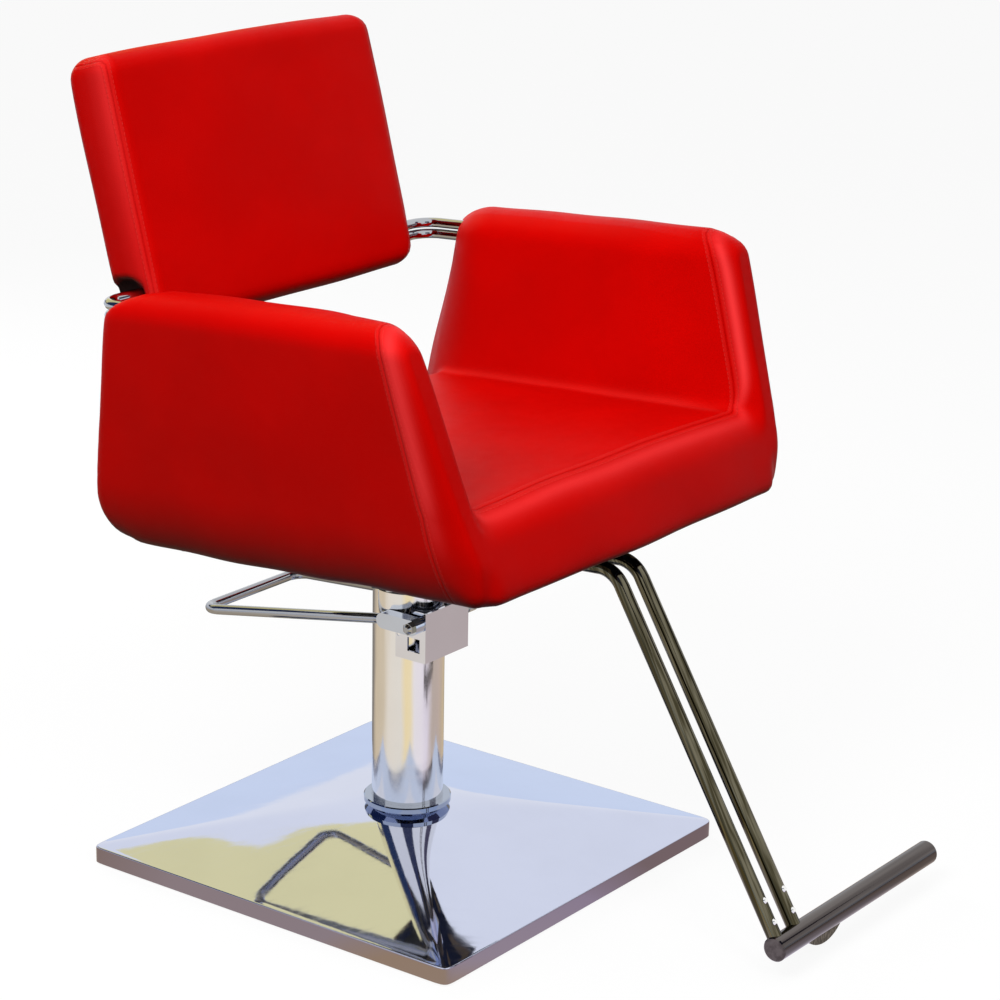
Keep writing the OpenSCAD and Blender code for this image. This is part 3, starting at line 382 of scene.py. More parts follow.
def chrome_look(name, colour, dull, tarnish=0.12, upright=None, streaks=None, streak_colour=None, amount=0.6):
    """Polished plate: faint waviness, wiping marks and hairline scratches; where they are named, another
    colour on upright faces and streaks along the piece, both painted reflections."""
    look = Look(name, Metallic=1.0)
    cloudy = look.noise(11.0, 3.0)
    wipes = look.noise(1.0, 3.0, at=look.stretched((160.0, 18.0, 30.0), (0.3, 0.5, 0.9)))
    hairs = look.noise(1.0, 1.0, at=look.stretched((1500.0, 20.0, 900.0), (0.2, 0.1, 0.6)))
    shade = look.mix(cloudy.ramp(0.35, 0.75) * tarnish, colour, tinted(colour, 0.72))
    # Painted reflection: streaks of another colour along the piece
    if streaks:
        bands = look.noise(1.0, 2.0, at=look.stretched(*streaks))
        shade = look.mix(bands.ramp(0.40, 0.66) * amount, shade, streak_colour)
    # Painted reflection: another colour on the faces that don't look up
    if upright:
        shade = look.mix(look.upward().ramp(0.3, 0.75), upright, shade)
    look.set(Base_Color=shade, Roughness=dull + 0.05 * wipes.ramp(0.45, 0.8) + 0.06 * hairs.ramp(0.66, 0.74),
             Normal=look.bump(cloudy * 0.0004 + hairs * 0.000006, 1.0, 0.35))


def steel_look():
    """Plain turned steel: dull grey with fine turning marks and a little rust in patches."""
    look = Look("turned_steel", Metallic=1.0)
    marks = look.noise(1.0, 2.0, at=look.stretched((60.0, 60.0, 1800.0)))
    rust = look.noise(30.0, 4.0).ramp(0.62, 0.74)
    grey = look.mix(marks, (0.42, 0.43, 0.45), (0.62, 0.62, 0.63))
    look.set(Base_Color=look.mix(rust * 0.3, grey, (0.20, 0.10, 0.05)),
             Roughness=0.28 + 0.2 * marks + 0.3 * rust, Normal=look.bump(marks, 0.0002, 0.4))


def black_look():
    """Satin black enamel over a slightly rough casting."""
    look = Look("black_enamel", Coat_Weight=0.2, Coat_Roughness=0.3)
    peel = look.noise(420.0, 2.0)
    patch = look.noise(25.0, 3.0)
    worn = look.noise(90.0, 4.0).ramp(0.68, 0.76)
    enamel = look.mix(patch, (0.016, 0.017, 0.020), (0.035, 0.036, 0.042))
    look.set(Base_Color=look.mix(worn * 0.6, enamel, (0.16, 0.16, 0.17)), Roughness=0.38 + 0.18 * patch,
             Normal=look.bump(peel, 0.0003, 0.4))


def plywood_look():
    """Birch plywood: faces with long grain, plies on the edges."""
    look = Look("birch_plywood")
    rings = look.noise(1.0, 4.0, 0.6, at=look.stretched((60.0, 5.0, 60.0)), Distortion=0.8)
    plies = (look.part("Z") * 420.0).fraction().ramp(0.35, 0.65)
    face = look.mix(rings, (0.46, 0.30, 0.16), (0.74, 0.56, 0.36))
    look.set(Base_Color=look.mix(plies * 0.35, face, (0.30, 0.18, 0.09)), Roughness=0.55 + 0.2 * rings,
             Normal=look.bump(rings, 0.0004, 0.5))


def rubber_look():
    """Black rubber, matt and slightly dusty."""
    look = Look("black_rubber")
    dust = look.noise(60.0, 4.0)
    look.set(Base_Color=look.mix(dust.ramp(0.4, 0.8), (0.016, 0.016, 0.016), (0.06, 0.058, 0.055)),
             Roughness=0.75 + 0.2 * dust, Normal=look.bump(look.noise(700.0, 2.0), 0.0004, 0.5))


# Surfaces


def rolled(a, b, radius, other=None):
    """Distance to what two solids share, with the edge between them rolled to a radius, or to an ellipse of
    two radii. Inside the roll it is the ellipse: hypot of both distances, each raised by its radius and
    measured in it."""
    other = radius if other is None else other
    u, v = a / radius, b / other
    arc = np.minimum(np.maximum(u, v), -1) + np.hypot(np.maximum(u + 1, 0), np.maximum(v + 1, 0))
    return arc * np.sqrt(radius * other)


def merged(a, b, radius):
    """Distance to two solids taken together, with a fillet of a radius in the corner between them."""
    corner = np.hypot(np.maximum(radius - a, 0), np.maximum(radius - b, 0))
    return np.maximum(np.minimum(a, b), radius) - corner


def shares(f, *names):
    """How much each named face counts at a point: exp(distance / spread), over the sum of them all."""
    spread = 0.009
    raised = np.exp(np.clip(np.array([f[name] for name in names]) / spread, -40, 12))
    return dict(zip(names, raised / raised.sum(0)))


def by_face(share, sizes):
    """One size at each point: the faces' sizes, mixed by how much each face counts there."""
    return sum(share[name] * size for name, size in sizes.items())


def ease(value, low, high):
    """A smooth step from 0 at low to 1 at high."""
    t = np.clip((value - low) / (high - low), 0, 1)
    return t * t * (3 - 2 * t)


def hump(value, power=2):
    """1 at zero, falling to 0 at 1 and -1 like a parabola, or flatter at the top with a higher power."""
    return np.clip(1 - value ** power, 0, 1)


def ripple(points, height):
    """Slight unevenness of stuffed covering: three crossing waves of about a hand's width."""
    x, y, z = points.T
    return height / 3 * (np.sin(31 * x + 17 * y + 1.3) * np.cos(23 * z - 9 * x)
                         + np.sin(47 * y - 19 * z + 0.4)
                         + np.cos(39 * z + 27 * x - 13 * y + 2.1))


# Crowns and slants of the tub's faces, in metres: how high a crown rises, its middle and its half length
ARM_SWELL = 0.004
TOP_CROWN = 0.003
ARM_MIDDLE = -0.06
ARM_HALF = 0.32
SEAT_MIDDLE = -0.08
SEAT_HALF_LENGTH = 0.28
SEAT_HALF_WIDTH = 0.25
BOW_HALF = 0.24
BOW_HEIGHT = 0.12
NOSE_LENGTH = 0.14
SEAT_REAR_LEAN = 0.02
SEAT_INSET = 0.014
# The slanted rear's length over its width, and the cosine of the front's lean: they make distances square
REAR_SLANT = 1.45
FRONT_COSINE = 0.965


def tub_faces(points, t):
    """Distances of points to each face of the tub, negative inside. An arm is a slab that leans outward as
    it rises, with its rear cut forward on the inner side; the seat is a slab between. Parabolas crown the
    faces."""
    across, along, up = np.abs(points[:, 0]), points[:, 1], points[:, 2]
    rise = up / t.arm_height
    depth = across - t.inner_width / 2 - t.flare * rise
    mid = hump((along - ARM_MIDDLE) / ARM_HALF)
    seat_mid = hump(across / SEAT_HALF_WIDTH) * hump((along - SEAT_MIDDLE) / SEAT_HALF_LENGTH, 4)
    swell = ARM_SWELL * mid * hump(2 * rise - 1)
    rear_at = t.rear - t.rear_lean * rise
    cut_from = t.rear - t.cut_run
    cut = 1 - t.rear_cut / t.cut_run * np.clip(1 - depth / t.thick, -0.3, 1.3)
    behind_front = along + t.front - t.front_lean * rise
    bow = t.front_bow * hump(across / BOW_HALF) * np.clip(1 - up / BOW_HEIGHT, 0, 1)
    return {
        "outer": depth - t.thick - swell,
        "inner": t.nose_thin * ease(behind_front, NOSE_LENGTH, 0.0) - depth,
        "top": up - t.arm_height - TOP_CROWN * mid,
        "rear": (along - cut_from - (rear_at - cut_from) * cut) / REAR_SLANT,
        "seat_top": up - t.seat_height - t.seat_crown * seat_mid,
        "seat_rear": along - t.seat_rear + SEAT_REAR_LEAN * up / t.seat_height,
        "seat_side": depth - t.thick + SEAT_INSET,
        "under": -up,
        "front": -behind_front * FRONT_COSINE - bow,
        "rise": rise,
        "depth": depth,
    }


# Radii of the tub's rolled edges by the face that meets the edge, in metres. Where a roll has two radii,
# the first is measured across the face that is cut, and the second across the one that cuts
TOP_ROLL = 0.033
REAR_ROLL = {"outer": 0.021, "inner": 0.030, "top": 0.038}
SEAT_REAR_ROLL = 0.024
UNDER_ROLL = {"inner": 0.030, "top": 0.030, "rear": 0.045, "seat_top": 0.02, "seat_rear": 0.02}
UNDER_ROLL_OUTER = (0.023, 0.085)
FRONT_ROLL = {"top": 0.042, "seat_top": 0.040, "rear": 0.03, "seat_rear": 0.03}
# The front's two radii at the outer face's top, how much they grow to its foot, and at the inner face
FRONT_INWARD = (0.018, 0.016, 0.042)
FRONT_REARWARD = (0.022, 0.034, 0.056)
# The front's roll along the underside: its share, its reach upward, its radius, and more at the outer face
LOW_ROLL_SHARE = 0.8
LOW_ROLL_REACH = 0.045
LOW_ROLL = 0.013
LOW_ROLL_OUTER = 0.016
SEAT_BLEND = 0.006
TUB_RIPPLE = 0.0012


def tub_distance(points, t):
    """Distance to the tub's skin. The arm's outer, inner and top faces are rolled together, then its rear;
    the seat is joined in a soft crease; then the underside and the leaning front cut both, each with its
    own roll."""
    f = tub_faces(points, t)
    low = 1 - np.clip(f["rise"], 0, 1)
    arm = rolled(np.maximum(f["outer"], f["inner"]), f["top"], TOP_ROLL)
    arm = rolled(arm, f["rear"], by_face(shares(f, "outer", "inner", "top"), REAR_ROLL))
    seat = np.maximum(rolled(f["seat_top"], f["seat_rear"], SEAT_REAR_ROLL), f["seat_side"])
    body = merged(arm, seat, t.crease)
    on_arm = 1 / (1 + np.exp(np.clip((arm - seat) / SEAT_BLEND, -30, 30)))
    share = {name: value * on_arm for name, value in shares(f, "outer", "inner", "top", "rear").items()}
    share |= {name: value * (1 - on_arm) for name, value in shares(f, "seat_top", "seat_rear").items()}
    under_rolls = [by_face(share, {**UNDER_ROLL, "outer": outer}) for outer in UNDER_ROLL_OUTER]
    body = rolled(body, f["under"], *under_rolls)
    under = ease(-f["under"], LOW_ROLL_REACH, 0.0) * LOW_ROLL_SHARE
    below = under * (LOW_ROLL + LOW_ROLL_OUTER * share["outer"])
    fronts = [by_face(share, {**FRONT_ROLL, "outer": top + growth * low, "inner": inner})
              for top, growth, inner in (FRONT_INWARD, FRONT_REARWARD)]
    front = rolled(body, f["front"], *(radius * (1 - under) + below for radius in fronts))
    return front - ripple(points, TUB_RIPPLE)


BACK_CROWN = {"side": 0.004, "rear": 0.003, "top": 0.003, "bottom": 0.002}


def back_faces(points, b):
    """Distances to the backrest's faces, in its own frame: front at 0, rear at its thickness."""
    across, depth, up = np.abs(points[:, 0]), points[:, 1], points[:, 2]
    wide = hump(across / (b.width / 2))
    tall = hump(2 * up / b.height - 1)
    return {
        "side": across - b.width / 2 - BACK_CROWN["side"] * tall * hump(2 * depth / b.thick - 1),
        "front": -depth - b.crown * wide ** 0.7 * tall ** 0.7,
        "rear": depth - b.thick - BACK_CROWN["rear"] * wide * tall,
        "top": up - b.height - BACK_CROWN["top"] * wide,
        "bottom": -up - BACK_CROWN["bottom"] * wide,
    }


# The oval hollow in either side of the backrest, where the rods go in: its middle behind the front and
# above the lower edge, its half sizes along both, its depth and the roll of its edge
HOLLOW_PLACE = (0.051, 0.044)
HOLLOW_HALF = (0.031, 0.023)
HOLLOW_DEPTH = 0.012
HOLLOW_ROLL = 0.004
# Rolls of the backrest: its long edges, then its gusset's by the face that meets it
BACK_ROLL = 0.024
GUSSET_ROLL = {"top": 0.022, "bottom": 0.022, "front": 0.009, "rear": 0.014}
BACK_RIPPLE = 0.0008


def rod_hollow(points, b):
    """Where a point lies in the hollow's ellipsoid, measured in its half sizes: how far inward, with minus
    for inside the backrest, and how far out from its middle line."""
    inward = (np.abs(points[:, 0]) - b.width / 2) / HOLLOW_DEPTH
    behind, above = ((points[:, k + 1] - HOLLOW_PLACE[k]) / HOLLOW_HALF[k] for k in (0, 1))
    return inward, np.hypot(behind, above)


def back_distance(points, b):
    """Distance to the backrest's skin: a slab whose front and rear roll over the top, with a flatter gusset
    at its sides whose edges are rolled tighter, and the rods' oval hollows."""
    f = back_faces(points, b)
    ends = rolled(np.maximum(f["top"], f["bottom"]), np.maximum(f["front"], f["rear"]), BACK_ROLL)
    slab = rolled(ends, f["side"], by_face(shares(f, *GUSSET_ROLL), GUSSET_ROLL))
    outside_hollow = HOLLOW_DEPTH * (1 - np.hypot(*rod_hollow(points, b)))
    return rolled(slab - ripple(points + 3, BACK_RIPPLE), outside_hollow, HOLLOW_ROLL)


# How far apart a slope is measured, and how far a point moves at most in one step
SLOPE_REACH = 0.0004
LONGEST_STEP = 0.02


def slope(distance, points, sizes):
    """The distance and its gradient: the sum of the distances at a small tetrahedron's corners, each times
    its corner."""
    corners = np.array([[1, -1, -1], [-1, -1, 1], [-1, 1, -1], [1, 1, 1]], float)
    sums = sum(distance(points + SLOPE_REACH * c, sizes)[:, None] * c for c in corners)
    return distance(points, sizes), sums / (4 * SLOPE_REACH)


def drawn_to_skin(distance, points, sizes, rounds=2):
    """Moves points along the gradient until they lie on the skin: Newton's step, capped."""
    for _ in range(rounds):
        d, g = slope(distance, points, sizes)
        step = d[:, None] * g / np.maximum((g * g).sum(1), 0.05)[:, None]
        reach = np.linalg.norm(step, axis=1, keepdims=True)
        points = points - step * np.minimum(1, LONGEST_STEP / np.maximum(reach, 1e-9))
    return points


def evened(distance, points, sizes, neighbours, rounds):
    """Slides points over the skin towards the middle of their neighbours, and back onto the skin, so that
    the mesh is even: the neighbours' mean, less its part along the gradient."""
    for _ in range(rounds):
        pull = points[neighbours].mean(1) - points
        _, g = slope(distance, points, sizes)
        g /= np.maximum(np.linalg.norm(g, axis=1, keepdims=True), 1e-9)
        pull -= (pull * g).sum(1, keepdims=True) * g
        points = drawn_to_skin(distance, points + 0.6 * pull, sizes, 1)
    return points


def loop_square(n_flat, n_edge):
    """Points round the border of a unit square, as (along, through): up one side, back down the other, so
    that point k and point n - k lie opposite each other."""
    flat = np.linspace(0, 1, n_flat + 1)
    edge = np.linspace(0, 1, n_edge + 1)
    first = np.stack([0 * edge, 0.5 - 0.5 * edge], 1)[:-1]
    long = np.stack([flat, 0 * flat], 1)[:-1]
    last = np.stack([1 + 0 * edge, 0.5 * edge], 1)
    near = np.concatenate([first, long, last])
    far = near[1:-1][::-1] * [1, -1] + [0, 1]
    return np.concatenate([near, far])


def closed_sleeve(place, stations, n_flat, n_edge, cap):
    """A sleeve carried along a path, closed at each end along a line: at station s a square loop stands
    across the path, and over the last cap stations it narrows to its middle line. place(s, along, through)
    gives the points. Returns the points, the faces and each point's four neighbours, with the points of
    each end line shared."""
    square = loop_square(n_flat, n_edge)
    n = len(square)
    row = np.arange(stations)
    from_end = np.minimum(row, stations - 1 - row)
    squeeze = np.repeat(np.sin(np.pi / 2 * np.clip(from_end / cap, 0, 1)), n)
    along = 0.5 + (np.tile(square[:, 0], stations) - 0.5) * (0.93 + 0.07 * squeeze)
    through = 0.5 + (np.tile(square[:, 1], stations) - 0.5) * squeeze
    points = place(np.repeat(np.linspace(0, 1, stations), n), along, through)
    index = np.arange(stations * n).reshape(stations, n)
    folded = np.minimum(np.arange(n), (n - np.arange(n)) % n)
    index[0] = index[0][folded]
    index[-1] = index[-1][folded]
    onward = np.roll(index, -1, axis=1)
    backward = np.roll(index, 1, axis=1)
    quads = np.stack([index[:-1], onward[:-1], onward[1:], index[1:]], axis=2).reshape(-1, 4)
    kept, renumbered = np.unique(quads, return_inverse=True)
    corners = (tuple(dict.fromkeys(quad)) for quad in renumbered.reshape(-1, 4).tolist())
    faces = [face for face in corners if len(face) > 2]
    ahead = np.concatenate([index[1:], index[-2:-1]])
    behind = np.concatenate([index[1:2], index[:-1]])
    new_number = np.zeros(stations * n, int)
    new_number[kept] = np.arange(len(kept))
    beside = np.stack([onward, backward, ahead, behind], axis=2).reshape(-1, 4)
    return points[kept], faces, new_number[beside][kept]


def covered(distance, place, sizes, spans, gap):
    """A closed sleeve laid tight on the skin that a distance formula gives, with its points evened out.
    The spans are how long the skin is along its path, across a face, over an edge and over an end."""
    path, flat, edge, cap = (int(span / gap) for span in spans)
    points, faces, neighbours = closed_sleeve(place, path | 1, flat, edge, cap)
    points = drawn_to_skin(distance, points, sizes, 5)
    points = evened(distance, points, sizes, neighbours, 30)
    return drawn_to_skin(distance, points, sizes, 3), faces


def linked(name, data):
    """A new object of the scene."""
    made = bpy.data.objects.new(name, data)
    bpy.context.scene.collection.objects.link(made)
    return made


def mesh_object(name, points, faces, material):
    """A new mesh object of one material, from rows of points and faces."""
    mesh = bpy.data.meshes.new(name)
    mesh.from_pydata(np.array(points, float).tolist(), [], faces)
    mesh.validate()
    mesh.materials.append(material)
    return linked(name, mesh)


def new_piece(name, points, faces, material, body):
    """Makes a smooth closed mesh object, in the room's frame, and lets it ride on its body."""
    piece = mesh_object(name, points, faces, bpy.data.materials[material])
    piece.data.shade_smooth()
    if signed_volume(piece.data) < 0:
        piece.data.flip_normals()
    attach(piece, body)
    return piece


def signed_volume(mesh):
    """Six times the volume inside a closed mesh: the sum of its triangles' triple products."""
    mesh.calc_loop_triangles()
    corners = np.zeros(len(mesh.loop_triangles) * 3, np.int32)
    mesh.loop_triangles.foreach_get("vertices", corners)
    co = np.zeros(len(mesh.vertices) * 3)
    mesh.vertices.foreach_get("co", co)
    tri = co.reshape(-1, 3)[corners.reshape(-1, 3)]
    return float(np.einsum("ij,ij->i", tri[:, 0], np.cross(tri[:, 1], tri[:, 2])).sum())


def store(piece, **numbers):
    """Keeps one number per point under each name, for the finish to read."""
    for name, values in numbers.items():
        attribute = piece.data.attributes.new(name, "FLOAT", "POINT")
        attribute.data.foreach_set("value", np.asarray(values, np.float32))


def tub_place(t):
    """The rough shape that the tub's sleeve starts from: up one arm, over the seat and up the other.
    Station s runs from the top of one arm to the top of the other; the loop spans from the inner face to
    the outer, and from front to rear. The way is 0 in the seat's middle and 1 at the top of an arm."""
    seat_end, corner_end = 0.40, 0.60
    half = t.inner_width / 2

    def place(s, along, through):
        side = np.where(s < 0.5, -1.0, 1.0)
        way = np.abs(2 * s - 1)
        seat = np.clip(way / seat_end, 0, 1)
        corner = np.clip((way - seat_end) / (corner_end - seat_end), 0, 1)
        arm = np.clip((way - corner_end) / (1 - corner_end), 0, 1)
        inner_x = seat * (half - 0.02) + corner * 0.03 + arm * t.flare * 0.6
        inner_z = t.seat_height + corner * 0.02 + arm * (t.arm_height - t.seat_height - 0.02)
        outer_x = seat * (half - 0.02) + np.clip(corner * 2, 0, 1) * (t.thick + 0.02) + arm * t.flare
        outer_z = np.clip(corner * 2 - 1, 0, 1) * t.seat_height + arm * (t.arm_height - t.seat_height)
        x = inner_x + (outer_x - inner_x) * through
        z = inner_z + (outer_z - inner_z) * through
        front = -t.front + t.front_lean * z / t.arm_height
        arm_rear = t.rear - t.rear_lean * z / t.arm_height - t.rear_cut * (1 - through)
        seat_rear = t.seat_rear - 0.02 * z / t.seat_height
        rear = seat_rear + (arm_rear - seat_rear) * ease(corner * np.pi / 2, 0.2, 1.3)
        return np.stack([side * x, front + (rear - front) * along, z], axis=1)
    return place


# The pieces


TUB_SPANS = (1.42, 0.5, 0.045, 0.05)
BACK_SPANS = (0.56, 0.33, 0.04, 0.04)


def spacing(scene):
    """Distance between the points of the upholstery, in metres."""
    return (scene.chair_studio.fineness) / 1000.0


# The tub's front seam and the strip of painted highlight before it, by face: how far behind the front both
# lie, the strip's half width and how strong the painted highlight is. On the outer face both lie further back
# towards the foot
SEAM_AT = {"inner": 0.023, "top": 0.034, "seat": 0.036}
STRIP_AT = {"inner": 0.011, "top": 0.022, "seat": 0.036}
SEAM_AT_OUTER = 0.024
STRIP_AT_OUTER = 0.013
FOOT_FURTHER = 0.028
STRIP_HALF = {"outer": 0.009, "inner": 0.005, "top": 0.008, "seat": 0.01}
STRIP_PALE = {"outer": 0.75, "inner": 0.9, "top": 0.35}
# Half width of the painted highlight along the crease between an arm and the seat
CREASE_HALF = 0.008


class CHAIR_OT_tub(bpy.types.Operator):
    """Cover the seat and both arms with one continuous skin"""
    bl_idname = "chair.tub"
    bl_label = "Seat tub"

    def execute(self, context):
        t = context.scene.chair_tub
        points, faces = covered(tub_distance, tub_place(t), t, TUB_SPANS, spacing(context.scene))
        f = tub_faces(points, t)
        behind = -f["front"]
        f["seat"] = -abs(f["seat_top"]) - 0.01 * (f["depth"] > 0)
        share = shares(f, "outer", "inner", "top", "seat")
        rise = np.clip(f["rise"], 0, 1)
        seam = by_face(share, {**SEAM_AT, "outer": SEAM_AT_OUTER + FOOT_FURTHER * (1 - rise)})
        strip = by_face(share, {**STRIP_AT, "outer": STRIP_AT_OUTER + FOOT_FURTHER * (1 - rise)})
        piece = new_piece("tub_covering", to_room(points), faces, "leathercloth", "seat")
        in_corner = np.exp(-((f["depth"] / CREASE_HALF) ** 2) - (f["seat_top"] / CREASE_HALF) ** 2)
        in_strip = np.exp(-((behind - strip) / by_face(share, STRIP_HALF)) ** 2)
        store(piece,
              seam_across=behind - seam,
              seam_along=points[:, 2] + np.abs(points[:, 0]),
              # A painted highlight along the crease between an arm and the seat
              crease=in_corner * ease(behind, 0.02, 0.05),
              # A painted highlight on the strip along the front's edge rolls
              stretched=by_face(share, STRIP_PALE) * ease(rise, 0.12, 0.5) * in_strip,
              underside=np.ones(len(points)),
              hollow=np.zeros(len(points)))
        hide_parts("seat_cushion", "right_arm_pad", "left_arm_pad")
        return {"FINISHED"}


# The gusset's seam inside its edge, and the strip of painted highlight on it: its half width, how strong it
# is, how much stronger at the top, and from how far below the top
GUSSET_SEAM_AT = 0.002
GUSSET_STRIP_HALF = 0.026
GUSSET_PALE = 0.22
GUSSET_PALER = 0.38
GUSSET_PALE_FROM = 0.30


class CHAIR_OT_backrest(bpy.types.Operator):
    """Cover the backrest, with a gusset sewn in at either side"""
    bl_idname = "chair.backrest"
    bl_label = "Backrest"

    def execute(self, context):
        b = context.scene.chair_back

        def place(s, along, through):
            return np.stack([(s - 0.5) * b.width, b.thick * (1 - through), along * b.height], axis=1)

        points, faces = covered(back_distance, place, b, BACK_SPANS, spacing(context.scene))
        f = back_faces(points, b)
        rim = np.maximum(np.maximum(f["front"], f["rear"]), np.maximum(f["top"], f["bottom"]))
        in_strip = np.exp(-(f["front"] / GUSSET_STRIP_HALF) ** 2)
        beside = ease(f["side"] - f["front"], -0.003, 0.006) * in_strip
        inward, oval = rod_hollow(points, b)
        piece = new_piece("backrest_covering", to_room(to_seat(points)), faces, "leathercloth",
                          "seat")
        store(piece,
              seam_across=(f["side"] - rim) / math.sqrt(2) - GUSSET_SEAM_AT,
              seam_along=points[:, 2] + points[:, 1],
              crease=np.zeros(len(points)),
              # A painted highlight on the gusset, stronger towards the top
              stretched=beside * (GUSSET_PALE + GUSSET_PALER * ease(f["top"], -GUSSET_PALE_FROM, -0.02)),
              # Painted shade in the rods' hollows
              hollow=ease(oval, 1.06, 0.86) * ease(inward, -2.2, -1.6),
              underside=np.zeros(len(points)))
        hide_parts("backrest_pad")
        return {"FINISHED"}


def pillow(share, angle, reach, size, drop=0.0):
    """Points of the base cover: at share 0 the outline is the column's circle, at share 1 the rim's square
    with small corners, in between a superellipse |x|^p + |y|^p = reach^p with p from 2 to 56. The height
    falls from the crown to the rim by a power of the share."""
    power = 2 + 54 * share ** 1.5
    c, s = np.abs(np.cos(angle)), np.abs(np.sin(angle))
    big = np.maximum(c, s)
    r = reach / (big * ((c / big) ** power + (s / big) ** power) ** (1 / power))
    z = np.full_like(r, size.rim - drop + (size.crown - size.rim) * (1 - share ** 1.15))
    return np.stack([r * np.cos(angle), r * np.sin(angle), z], axis=-1)


class CHAIR_OT_base(bpy.types.Operator):
    """Press the base cover from one sheet: a low pillow with a straight rim"""
    bl_idname = "chair.base_cover"
    bl_label = "Base cover"

    def execute(self, context):
        size = context.scene.chair_base
        half, wall = size.side / 2, size.wall
        bevel = 0.0022
        foot = 0.002
        n = 512
        turn = 2 * np.pi * np.arange(n) / n
        # More points near the corners than along the sides
        angle = turn + 0.85 / 4 * np.sin(4 * turn)

        def top(share, edge, drop):
            return pillow(share, angle, size.hole + (edge - size.hole) * share, size, drop)

        def level(reach, height):
            ring = pillow(np.ones(n), angle, reach, size)
            ring[:, 2] = height
            return ring

        rings = [top(share, half - bevel, 0.0) for share in np.linspace(0, 1, 49)]
        for a in np.pi / 2 * np.arange(1, 6) / 5:
            rings.append(level(half - bevel + bevel * np.sin(a), size.rim - bevel + bevel * np.cos(a)))
        rings += [level(half, size.rim - 2 * bevel), level(half, foot + 0.001), level(half, foot),
                  level(half - wall, foot), level(half - wall, size.rim - bevel - wall)]
        rings += [top(share, half - bevel - wall, wall) for share in np.linspace(1, 0, 13)]
        index = np.arange(len(rings) * n).reshape(-1, n)
        onward = np.roll(index, -1, axis=1)
        quads = np.stack([index, onward, np.roll(onward, -1, axis=0), np.roll(index, -1, axis=0)], axis=2)
        piece = new_piece("base_pillow", np.concatenate(rings), quads.reshape(-1, 4).tolist(), "base_chrome",
                          "base")
        # Edges that turn by more than this stay sharp, so that the rest shades smoothly
        piece.data.set_sharp_from_angle(angle=math.radians(40))
        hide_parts("base_cover")
        return {"FINISHED"}


FINISHES = {
    "base_chrome": ["base_cover"],
    "pump_chrome": ["pump_casing", "gland_cap", "piston_rod"],
    "head_chrome": ["pump_head"],
    "collar_chrome": ["collar_ring"],
    "back_rod_chrome": ["right_back_rods", "left_back_rods"],
    "lever_chrome": ["pump_lever", "shaft_nuts"],
    "shade_chrome": ["lever_yoke", "rocker_shaft"],
    "footrest_chrome": ["right_footrest_tube", "left_footrest_tube", "footrest_gusset"],
    "bar_chrome": ["footrest_bar", "footrest_caps"],
    "rivet_chrome": ["footrest_rivets"],
    "turned_steel": ["base_plate", "pump_flange", "flange_bolts", "pump_cylinder", "pump_barrel",
                     "pump_plunger", "piston", "thrust_washer", "plate_bolts", "bar_screws", "back_rail",
                     "right_rod_socket", "left_rod_socket", "back_screws", "clamp_bolts"],
    "black_enamel": ["swivel_hub", "seat_plate", "cross_bars", "footrest_clamp"],
    "birch_plywood": ["seat_board", "right_arm_panel", "left_arm_panel", "backrest_board"],
    "black_rubber": ["floor_pads", "piston_ring"],
    "leathercloth": ["seat_cushion", "right_arm_pad", "left_arm_pad", "backrest_pad"],
}


class CHAIR_OT_finishes(bpy.types.Operator):
    """Mix every finish and give each piece of the frame its own"""
    bl_idname = "chair.finishes"
    bl_label = "Finishes"

    def execute(self, context):
        c = context.scene.chair_colours
        leather_look(tuple(c.leather), tuple(c.lining))
        # Painted reflection: the base cover's rim is darker than its top
        chrome_look("base_chrome", tuple(c.base_chrome), 0.03, tarnish=0.1, upright=(0.27, 0.225, 0.27))
        # Painted reflection: pale streaks down the column
        chrome_look("pump_chrome", tuple(c.column_chrome), 0.10, amount=0.75,
                    streaks=((34.0, 34.0, 0.6),), streak_colour=(0.93, 0.90, 0.88))
        # The footrest's tubes and bar are dark as a painted reflection of a dark room, with streaks of
        # painted
        # reflection: paler ones run along its slanted tubes, darker ones along its bar
        slant = (-math.atan2(0.222, 0.421), 0.0, 0.0)
        chrome_look("footrest_chrome", (0.055, 0.048, 0.026), 0.08,
                    streaks=((300.0, 300.0, 3.0), slant), streak_colour=(0.24, 0.22, 0.155))
        chrome_look("bar_chrome", (0.13, 0.115, 0.11), 0.10,
                    streaks=((2.0, 110.0, 110.0),), streak_colour=(0.05, 0.04, 0.04))
        # Painted reflections: the collar's navy, the blue of the head, the yoke and the shaft, and the darker
        # grey of the back rods and the lever; the rivets are plain chrome
        for name, colour, dull in (("head_chrome", (0.75, 0.78, 0.88), 0.07),
                                   ("collar_chrome", (0.36, 0.41, 0.51), 0.05),
                                   ("back_rod_chrome", (0.46, 0.47, 0.50), 0.05),
                                   ("lever_chrome", (0.38, 0.39, 0.42), 0.06),
                                   ("shade_chrome", (0.56, 0.62, 0.74), 0.05),
                                   ("rivet_chrome", (0.92, 0.92, 0.90), 0.08)):
            chrome_look(name, colour, dull)
        for make in (steel_look, black_look, plywood_look, rubber_look):
            make()
        for finish, names in FINISHES.items():
            for name in names:
                dress(NODES[name], bpy.data.materials[finish])
        return {"FINISHED"}


def dress(node, material):
    """Gives a piece of the frame its finish."""
    if not node.material_slots:
        node.data.materials.append(material)
    for slot in node.material_slots:
        slot.material = material


# The studio


WHITE = (1.0, 1.0, 1.0, 1.0)


def studio_sheet(name, points, faces, material, only_mirrored=False):
    """A sheet that is part of the studio, and that only polished metal sees if it is only mirrored."""
    sheet = mesh_object(name, points, faces, material)
    if only_mirrored:
        for rays in ("camera", "diffuse", "shadow", "transmission"):
            setattr(sheet, "visible_" + rays, False)


